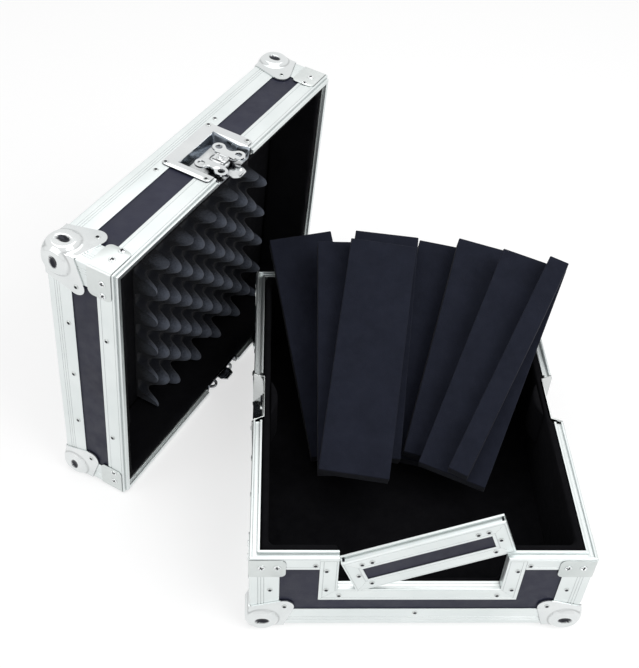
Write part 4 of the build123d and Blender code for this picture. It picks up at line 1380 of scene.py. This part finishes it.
def rounded_block(place: Place, half: np.ndarray, radius: float, pitch: float) -> Surface:
    """Box with rounded edges on fine grids.

    A point q of the sharp box is pulled to c + r (q - c) / |q - c|, where c is q clipped to the
    box that is smaller by the radius on every side.

    Args:
        place: the block's own coordinates, from its middle.
        half: half sizes in millimetres.
        radius: radius of the edges.
        pitch: size of the faces on the flats.

    Returns:
        The surface's six grids.
    """
    surface = Surface()
    bend = radius * np.tan(np.linspace(0.0, np.pi / 4, 5))[1:]
    lines = []
    for size in half:
        flat = size - radius
        middle = np.linspace(-flat, flat, max(3, int(2 * flat / pitch)))
        lines.append(np.concatenate([-flat - bend[::-1], middle, flat + bend]))
    for axis in range(3):
        u, v = np.meshgrid(lines[(axis + 1) % 3], lines[(axis + 2) % 3], indexing="ij")
        for side in (-1.0, 1.0):
            q = np.stack([np.full(u.shape, side * half[axis]), u, v], axis=-1)
            q = np.roll(q, axis, axis=-1)
            core = np.clip(q, -(half - radius), half - radius)
            away = q - core
            q = core + radius * away / np.linalg.norm(away, axis=-1, keepdims=True)
            surface.grid(place.put(q), np.stack([u, v], axis=-1) * MM)
    return surface


@dataclass(frozen=True)
class FoamBar:
    """One loose packing bar, cut from a thick sheet: crisp edges, faint hollows in its faces."""

    number: int
    edge_round: float = 1.6
    clearance: float = 0.15
    hollow: float = 0.5
    face: float = 7.0
    wave: float = 0.12

    def dress(self) -> None:
        """Measures the CAD bar, whose edges from one corner give its axes, and stands a block there."""
        node = f"foam_bar_{self.number}"
        corners = np.unique(np.round(mesh_points(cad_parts[node].data), 6), axis=0)
        spans = corners - corners[0]
        lengths = np.linalg.norm(spans, axis=1)
        order = np.argsort(lengths)
        first, second = spans[order[1]], spans[order[2]]
        square = np.abs(spans @ first) + np.abs(spans @ second)
        third = spans[[i for i in order[3:] if square[i] < 1e-6][0]]
        axes = np.stack([first, second, third])
        sizes = np.linalg.norm(axes, axis=1)
        axes /= sizes[:, None]
        place = Place(corners.mean(axis=0), axes)
        half = sizes / MM / 2 - self.clearance
        obj = rounded_block(place, half, self.edge_round, self.face).build(f"packing_bar_{self.number}", 60.0)
        sink(obj.data, hollows(mesh_points(obj.data), self.hollow * MM, self.wave, self.number))
        padded_piece(obj, node, Finish.BAR_FOAM, node)


@dataclass(frozen=True)
class EggCrate:
    """Convoluted foam pad in the lid's top: rows of pointed fingers, staggered from row to row."""

    node: str = "lid_egg_crate_foam"
    pitch: float = 56.0
    base: float = 12.0
    valley: float = 0.25
    clearance: float = 0.1
    step: float = 1.4
    sharpness: float = 4.4
    blunt: float = 0.16
    short: float = 28.0
    lower: float = 7.6

    def dress(self, shell: Shell) -> None:
        """Height of the pad over its own plane.

        The product of two cosines of the pitch is 1 on a staggered lattice. Half of one plus
        that product is raised to a power for narrower fingers, s. The height between the valleys
        and the tips is s / (s + b (1 - s)), whose b below 1 rounds the tips. The pad ends short
        of the solid's upper edge, and its round tips are lower than the solid's pointed ones.

        Args:
            shell: the lid.
        """
        own = shell.place.take(mesh_points(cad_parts[self.node].data))
        low, high = own.min(axis=0), own.max(axis=0)
        slab = own[own[:, 2] < low[2] + 0.6 * self.base]
        near, far = slab.min(axis=0), slab.max(axis=0)
        middle = (near + far) / 2
        half = (far - near) / 2 - self.clearance
        spans = zip(half, (self.short, 0.0))
        lines = [np.linspace(-size, size - cut, int(2 * size / self.step)) for size, cut in spans]
        u, v = np.meshgrid(*lines, indexing="ij")
        wave = np.cos(2 * np.pi * u / self.pitch) * np.cos(2 * np.pi * v / self.pitch)
        narrow = (0.5 + 0.5 * wave) ** self.sharpness
        rise = narrow / (narrow + self.blunt * (1.0 - narrow))
        floor = low[2] + self.valley * self.base
        tall = high[2] - self.lower - floor
        top = np.stack([middle[0] + u, middle[1] + v, floor + tall * rise], axis=-1)
        surface = Surface()
        surface.grid(shell.place.put(top))
        under = top.copy()
        under[..., 2] = low[2] + self.clearance
        surface.grid(shell.place.put(under))
        for end in (0, -1):
            surface.grid(shell.place.put(np.stack([top[end], under[end]])))
            surface.grid(shell.place.put(np.stack([top[:, end], under[:, end]])))
        obj = surface.build("egg_crate_pad", 70.0)
        height = (shell.place.take(mesh_points(obj.data))[:, 2] - floor) / tall
        # Painted shade, darkest in the valleys and lightest at the tips.
        store(obj.data, "crate_shade", 0.2 + 0.55 * height**2)
        padded_piece(obj, shell.body, Finish.CRATE_FOAM, self.node)


# Base


def paint(node: str, finish: Finish) -> None:
    """Gives a CAD node that stays in view its material.

    Args:
        node: the CAD node.
        finish: its finish.
    """
    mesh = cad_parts[node].data
    mesh.materials.clear()
    mesh.materials.append(finish_material(finish))


@dataclass(frozen=True)
class Base:
    """The open base: panels, extrusions, ball corners, dishes, handle and linings."""

    shell: Shell
    opening_flange: float = 22.0

    def dress(self) -> None:
        """Dresses every node of the base."""
        shell = self.shell
        profiles = shell.profiles
        shell.boards("bottom")
        outline = profiles.rim(shell.rim_flange, -profiles.groove_depth, profiles.groove_width)
        shell.rim_bars("base_side_rim_bars", "base_rim_sides", (1, 3), outline, shell.rim_gap)
        shell.rim_bars("base_back_rim_bars", "base_rim_back", (2,), outline, 0.0)
        self.front_rim(outline)
        self.opening_channel()
        shell.corners()
        self.hardware()
        shell.linings(
            ("base_lining_ring", "base_wall_lining", 4.0, 0.5, 11),
            ("base_floor_sheet", "base_floor_lining", 4.5, 0.5, 12),
            ("catch_pad_covers", "catch_cover_pads", 2.5, 0.3, 13),
        )
        self.fixings()

    def front_rim(self, outline: np.ndarray) -> None:
        """Front rim bar: whole up to the jambs' flanges, and its grooved top alone over the jambs.

        Args:
            outline: the rim's outline.
        """
        shell = self.shell
        profiles = shell.profiles
        cap = profiles.cap(-profiles.groove_depth, profiles.groove_width)
        edge = OPENING_WIDTH / 2
        flange = edge + self.opening_flange + shell.fit / 2
        half = shell.half(0)
        box, square = Mitre.BOX, Mitre.SQUARE
        surface = Surface()
        for start, end, tapers, section in (
            (-half, -flange, (box, square), outline),
            (flange, half, (square, box), outline),
            (-flange, -edge, (square, square), cap),
            (edge, flange, (square, square), cap),
        ):
            shell.edge(0, shell.height, start, end, tapers).sweep(surface, shell.place, section)
        extruded_piece(surface, "base_front_rim_bars", shell.body, "base_rim_front")

    def opening_channel(self) -> None:
        """Sill and jambs of the front opening, mitred at the sill and square with the rim."""
        shell = self.shell
        profiles = shell.profiles
        outline = profiles.rim(self.opening_flange, 0.0, 0.0)
        front, sill = -shell.depth / 2, shell.height - OPENING_DEPTH
        half = OPENING_WIDTH / 2 - shell.mitre_gap
        low, high = sill + shell.mitre_gap, shell.height - profiles.groove_depth - profiles.gauge
        runs = [Run((0, front, sill), (0, 1, 0), (0, 0, 1), (1, 0, 0), -half, half, *Mitre.OPENING.ends())]
        for sign in (-1, 1):
            origin = (sign * OPENING_WIDTH / 2, front, 0.0)
            runs.append(Run(origin, (0, 1, 0), (-sign, 0, 0), (0, 0, 1), low, high, (0.0, 1.0)))
        surface = Surface()
        for run in runs:
            run.sweep(surface, shell.place, outline)
        extruded_piece(surface, "opening_channel_bars", shell.body, "opening_frame")

    def hardware(self) -> None:
        """Catch dishes, keepers and the recessed handle, as rounded copies."""
        for node, width in (
            ("left_catch_dish", 0.5),
            ("right_catch_dish", 0.5),
            ("left_catch_keeper", 0.3),
            ("right_catch_keeper", 0.3),
            ("handle_tray", 0.5),
            ("handle_pins", 0.3),
        ):
            rounded_piece(node, self.shell.body, width, Finish.NICKEL)
        paint("handle_bail", Finish.CHROME)
        paint("handle_grip", Finish.RUBBER)

    def fixings(self) -> None:
        """Rivets and screws, where the photograph shows them and alike on the other walls."""
        shell = self.shell
        screws_up = 122.5
        fixings = Fixings("base", shell.body)
        front, back, *sides = [shell.wall(side) for side in ("front", "back", "left", "right")]
        fixings.rivet(front, 0.0, (124, 125), (176, 75), (111, 114), (110, 75), (94.4, 63), (0, 25))
        fixings.rivet(back, 0.0, (124, 126), (176, 75), (60, 25), (0, 25), (0, 126))
        fixings.rivet(back, DISH_GAUGE, (78, 42), (78, 108))
        for sign, from_end, wall in product((-1, 1), (14, 32), (front, back)):
            fixings.screw(wall, sign * (shell.width / 2 - from_end), screws_up)
        for wall in sides:
            fixings.rivet(wall, 0.0, (150, 126), (95, 126), (226, 75), (110, 25), (0, 25))
            fixings.rivet(wall, DISH_GAUGE, (48, 130), (48, 71))
            for sign, from_end in product((-1, 1), (14, 32)):
                fixings.screw(wall, sign * (shell.depth / 2 - from_end), screws_up)
        fixings.petals(shell)
        fixings.dress()


# Lid


@dataclass(frozen=True)
class Lid:
    """The lift-off lid on edge: panels, extrusions, latches, linings and the egg-crate pad."""

    shell: Shell
    hub_from_rim: float = 20.0
    hub_sink: float = 1.2

    def dress(self) -> None:
        """Dresses every node of the lid."""
        shell = self.shell
        profiles = shell.profiles
        shell.boards("top")
        outline = profiles.rim(shell.rim_flange, profiles.tongue_height, profiles.tongue_width)
        shell.rim_bars("lid_side_rim_bars", "lid_rim_sides", (1, 3), outline, shell.rim_gap)
        shell.rim_bars("lid_end_rim_bars", "lid_rim_ends", (0, 2), outline, 0.0)
        shell.corners()
        shell.linings(
            ("lid_lining_ring", "lid_wall_lining", 4.0, 0.5, 21),
            ("lid_top_sheet", "lid_top_lining", 4.5, 0.5, 22),
        )
        EggCrate().dress(shell)
        for name, side in (("lower", "left"), ("upper", "right")):
            self.latch(name, shell.wall(side))
        self.fixings()

    def latch(self, name: str, wall: Place) -> None:
        """One butterfly latch: dish, hook, hub with its ringed cap, and two wings.

        Args:
            name: the latch's name.
            wall: the lid's wall that it is in.
        """
        dish = f"{name}_latch_dish"
        pressed = bevelled_copy(dish, 0.5)
        mark_walls(pressed.data, wall)
        finish_piece(pressed, self.shell.body, [Finish.CHROME, Finish.POCKET_SHADE], dish)
        for part, width in (("hook", 0.35), ("hub", 0.3), ("front_wing", 0.5), ("back_wing", 0.5)):
            rounded_piece(f"{name}_latch_{part}", f"{name}_{part}", width, Finish.CHROME)
        rim = [(0, -0.3), (4.7, -0.3), (4.7, 0.35), (4.3, 0.75), (3.3, 0.85)]
        head = [(2.9, 0.5), (2.5, 0.5), (2.2, 1.0), (1.2, 1.3), (0, 1.35)]
        surface = Surface()
        middle = (0.0, self.shell.height - self.hub_from_rim, -self.hub_sink)
        surface.grid(wall.put(turned(np.array(rim + head), 36) + middle))
        finish_piece(surface.build(f"{name}_latch_hub_cap", SHARP), f"{name}_hub", [Finish.CHROME])

    def fixings(self) -> None:
        """Rivets and screws on the four walls of the lid."""
        shell = self.shell
        height = shell.height
        fixings = Fixings("lid", shell.body)
        for wall in (shell.wall("left"), shell.wall("right")):
            fixings.rivet(wall, 0.0, (67, height - 70), (0, height - 71))
            fixings.rivet(wall, DISH_GAUGE, (48.5, height - 10), (48.5, height - 68.4))
            for sign, from_end in product((-1, 1), (21, 39)):
                fixings.screw(wall, sign * (shell.depth / 2 - from_end), height - 16)
        for wall in (shell.wall("front"), shell.wall("back")):
            fixings.rivet(wall, 0.0, (90, height - 68), (0, height - 68), (90, height - 14))
            for sign, from_end in product((-1, 1), (18, 36)):
                fixings.screw(wall, sign * (shell.width / 2 - from_end), height - 14.5)
        fixings.petals(shell)
        fixings.dress()


# Insert


@dataclass(frozen=True)
class Insert:
    """Loose insert of the front opening: a small board in a channel with a grooved top."""

    base: Shell
    gap: float = 1.0
    flange: float = 20.0
    tilt: float = 20.3
    yaw: float = 3.4
    back: float = 3.6

    def size(self) -> tuple[float, float]:
        """Its length and its height."""
        return OPENING_WIDTH - 2 * self.gap, OPENING_DEPTH - 2 * self.base.fit

    def place(self) -> Place:
        """Where it stands: its left foot on the sill, turned a little and tilted up to the right.

        Returns:
            Its own coordinates, from the middle of its lower edge.
        """
        length, height = self.size()
        left = -OPENING_WIDTH / 2 + self.gap + np.sin(np.radians(self.tilt)) * height
        rise = np.arctan2(OPENING_DEPTH, OPENING_WIDTH / 2 - left)
        sill = self.base.height - OPENING_DEPTH
        foot = np.array([left, -self.base.depth / 2 - self.back, sill + 2 * self.base.fit])
        yaw = np.radians(self.yaw)
        across = np.array([np.cos(yaw) * np.cos(rise), np.sin(yaw) * np.cos(rise), np.sin(rise)])
        inward = np.array([-np.sin(yaw), np.cos(yaw), 0.0])
        up = np.cross(across, inward)
        own = Place(self.base.place.put(foot), np.stack([across, inward, up]) @ self.base.place.axes)
        return Place(own.put(np.array([length / 2, 0.0, 0.0])), own.axes)

    def dress(self) -> None:
        """Panel, channel frame, grooved top bar and the rivets round its two ends."""
        place = self.place()
        length, height = self.size()
        half, tall = length / 2 - self.base.mitre_gap, height / 2 - self.base.mitre_gap
        ends = Mitre.INSERT.ends()
        profiles = self.base.profiles
        paint("insert_panel", Finish.LAMINATE)
        channel = profiles.rim(self.flange, 0.0, 0.0)
        surface = Surface()
        Run((0, 0, 0), (0, 1, 0), (0, 0, -1), (-1, 0, 0), -half, half, *ends).sweep(surface, place, channel)
        for sign in (-1, 1):
            origin = (sign * length / 2, 0.0, height / 2)
            run = Run(origin, (0, 1, 0), (sign, 0, 0), (0, 0, -sign), -tall, tall, *ends)
            run.sweep(surface, place, channel)
        extruded_piece(surface, "insert_channel_bars", "insert", "insert_frame")
        surface = Surface()
        grooved = profiles.rim(self.flange, -profiles.groove_depth, profiles.groove_width)
        Run((0, 0, height), (0, 1, 0), (0, 0, 1), (1, 0, 0), -half, half, *ends).sweep(surface, place, grooved)
        extruded_piece(surface, "insert_top_bar", "insert", "insert_rim")
        face = Place(place.origin, np.stack([place.axes[0], place.axes[2], -place.axes[1]]))
        fixings = Fixings("insert", "insert")
        for from_end, up in ((34, height - 11), (22, height - 11), (12, height / 2), (22, 11)):
            fixings.rivet(face, 0.0, (length / 2 - from_end, up))
        fixings.dress()


# Studio


@dataclass(frozen=True)
class Studio:
    """Camera at the photograph's angle, pale floor, soft lamps and white surroundings."""

    eye: tuple[float, float, float] = (-0.06430, -1.00433, 1.13766)
    pitch: float = 0.7651322
    roll: float = 0.0551926
    yaw: float = -0.0636124
    focal_pixels: float = 1032.883
    frame_pixels: float = 668.0
    sensor: float = 36.0
    floor_half: float = 6.0
    floor_drop: float = 0.0004

    def camera(self) -> None:
        """Looks along +Y, pitched down, turned about the upright and rolled about its own axis."""
        data = bpy.data.cameras.new("photo_camera")
        data.sensor_width = self.sensor
        data.lens = self.focal_pixels / self.frame_pixels * self.sensor
        data.clip_start = 0.02
        obj = new_object("photo_camera", data)
        turn = Matrix.Rotation(self.yaw, 4, "Z") @ Matrix.Rotation(np.pi / 2 - self.pitch, 4, "X")
        obj.matrix_world = Matrix.Translation(self.eye) @ turn @ Matrix.Rotation(self.roll, 4, "Z")
        bpy.context.scene.camera = obj

    def lamp(self, name: str, place: Colour, aim: Colour, size: float, power: float) -> None:
        """A square soft lamp at a place, facing a point.

        Args:
            name: the lamp's name.
            place: where it is, in metres.
            aim: the point that it faces.
            size: side of the square in metres.
            power: its power in watts.
        """
        data = bpy.data.lights.new(name, "AREA")
        data.shape = "SQUARE"
        data.size = size
        data.energy = power
        obj = new_object(name, data)
        way = Matrix.Translation(place).to_translation() - Matrix.Translation(aim).to_translation()
        obj.matrix_world = Matrix.Translation(place) @ way.to_track_quat("Z", "Y").to_matrix().to_4x4()

    def world(self) -> None:
        """White for rays that show it, and a plain soft grey as a source of light."""
        world = bpy.data.worlds.new("studio_surroundings")
        bpy.context.scene.world = world
        world.use_nodes = True
        nodes = Nodes(world.node_tree)
        lights = [nodes.node("Background", (1.0, 1.0, 1.0), strength).outputs[0] for strength in (0.55, 1.0)]
        nodes.node("OutputWorld", nodes.node("MixShader", nodes.seen(), *lights).outputs[0])

    def floor(self) -> None:
        """Pale floor: plain for light that bounces, lifted towards white where it is seen."""
        h = self.floor_half
        mesh = bpy.data.meshes.new("studio_floor")
        corners = [(x, y, -self.floor_drop) for x, y in ((-h, -h), (h, -h), (h, h), (-h, h))]
        mesh.from_pydata(corners, [], [(0, 1, 2, 3)])
        new_object("studio_floor", mesh)
        material = bpy.data.materials.new("pale_floor")
        material.use_nodes = True
        nodes = Nodes(material.node_tree)
        plain, shadowed = [nodes.node("BsdfDiffuse", (grey,) * 3).outputs[0] for grey in (0.8, 0.45)]
        glow = nodes.node("Emission", Strength=0.62).outputs[0]
        lifted = nodes.node("AddShader", shadowed, glow).outputs[0]
        mix = nodes.node("MixShader", nodes.seen(), plain, lifted).outputs[0]
        nodes.node("OutputMaterial", mix)
        mesh.materials.append(material)

    def set_up(self) -> None:
        """Camera, floor, world and three soft lamps, the strongest from the right and in front."""
        bpy.context.scene.view_settings.view_transform = "Standard"
        self.camera()
        self.floor()
        self.world()
        self.lamp("key_lamp", (1.3, -1.1, 1.9), (0.0, 0.0, 0.15), 1.4, 22.0)
        self.lamp("fill_lamp", (-1.6, -1.3, 1.5), (0.0, 0.0, 0.15), 1.6, 8.0)
        self.lamp("top_lamp", (0.0, 0.6, 2.4), (0.0, 0.0, 0.1), 1.8, 10.0)


# Places of the two shells


def base_place() -> Place:
    """The base stands upright on its ball corners."""
    low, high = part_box("base_bottom_panel")
    return Place(np.array([(low.x + high.x) / 2, (low.y + high.y) / 2, BALL_FLAT * MM]), np.eye(3))


def lid_place(base: Place) -> Place:
    """The lid on its long edge: it rests on two ball flats and the lower dish's flange.

    The tilt makes the ball's flat and the dish's flange touch the floor together. The rim's near
    corner passes the base's back left corner at a small clearance.

    Args:
        base: the base's place.

    Returns:
        The lid's place.
    """
    ball_inset, ball_radius, dish_near = 15.0, 24.0, 4.0
    clearance, past_corner = 5.0, 154.4
    flat_radius = np.sqrt(ball_radius**2 - (ball_inset + BALL_FLAT) ** 2)
    flat_from_rim = LID_HEIGHT - ball_inset - flat_radius
    tilt = np.arctan2(BALL_FLAT - DISH_GAUGE, flat_from_rim - dish_near)
    heading = np.radians(60.5)
    facing = np.array([np.sin(heading), -np.cos(heading), 0.0])
    along = np.array([np.cos(heading), np.sin(heading), 0.0])
    upright = np.array([0.0, 0.0, 1.0])
    up = upright * np.cos(tilt) + facing * np.sin(tilt)
    out = facing * np.cos(tilt) - upright * np.sin(tilt)
    low = DISH_GAUGE * np.cos(tilt) - dish_near * np.sin(tilt)
    corner = np.array([-CASE_WIDTH / 2, CASE_DEPTH / 2, low])
    corner -= facing * clearance + along * (CASE_DEPTH - past_corner)
    centre = corner + up * CASE_WIDTH / 2 + along * CASE_DEPTH / 2 - out * LID_HEIGHT
    origin = np.array([base.origin[0], base.origin[1], 0.0]) + MM * centre
    return Place(origin, np.stack([up, np.cross(out, up), out]))


def main() -> None:
    """Builds the studio, the base, the lid, the insert and the bars in order."""
    logging.basicConfig(level=logging.INFO, format="%(message)s")
    Studio().set_up()
    standing = base_place()
    base = Shell("base", "base", standing, BASE_HEIGHT, 22.0)
    Base(base).dress()
    Lid(Shell("lid", "lid", lid_place(standing), LID_HEIGHT, 24.0)).dress()
    Insert(base).dress()
    for number in range(1, 9):
        FoamBar(number).dress()


if __name__ == "__main__":
    main()
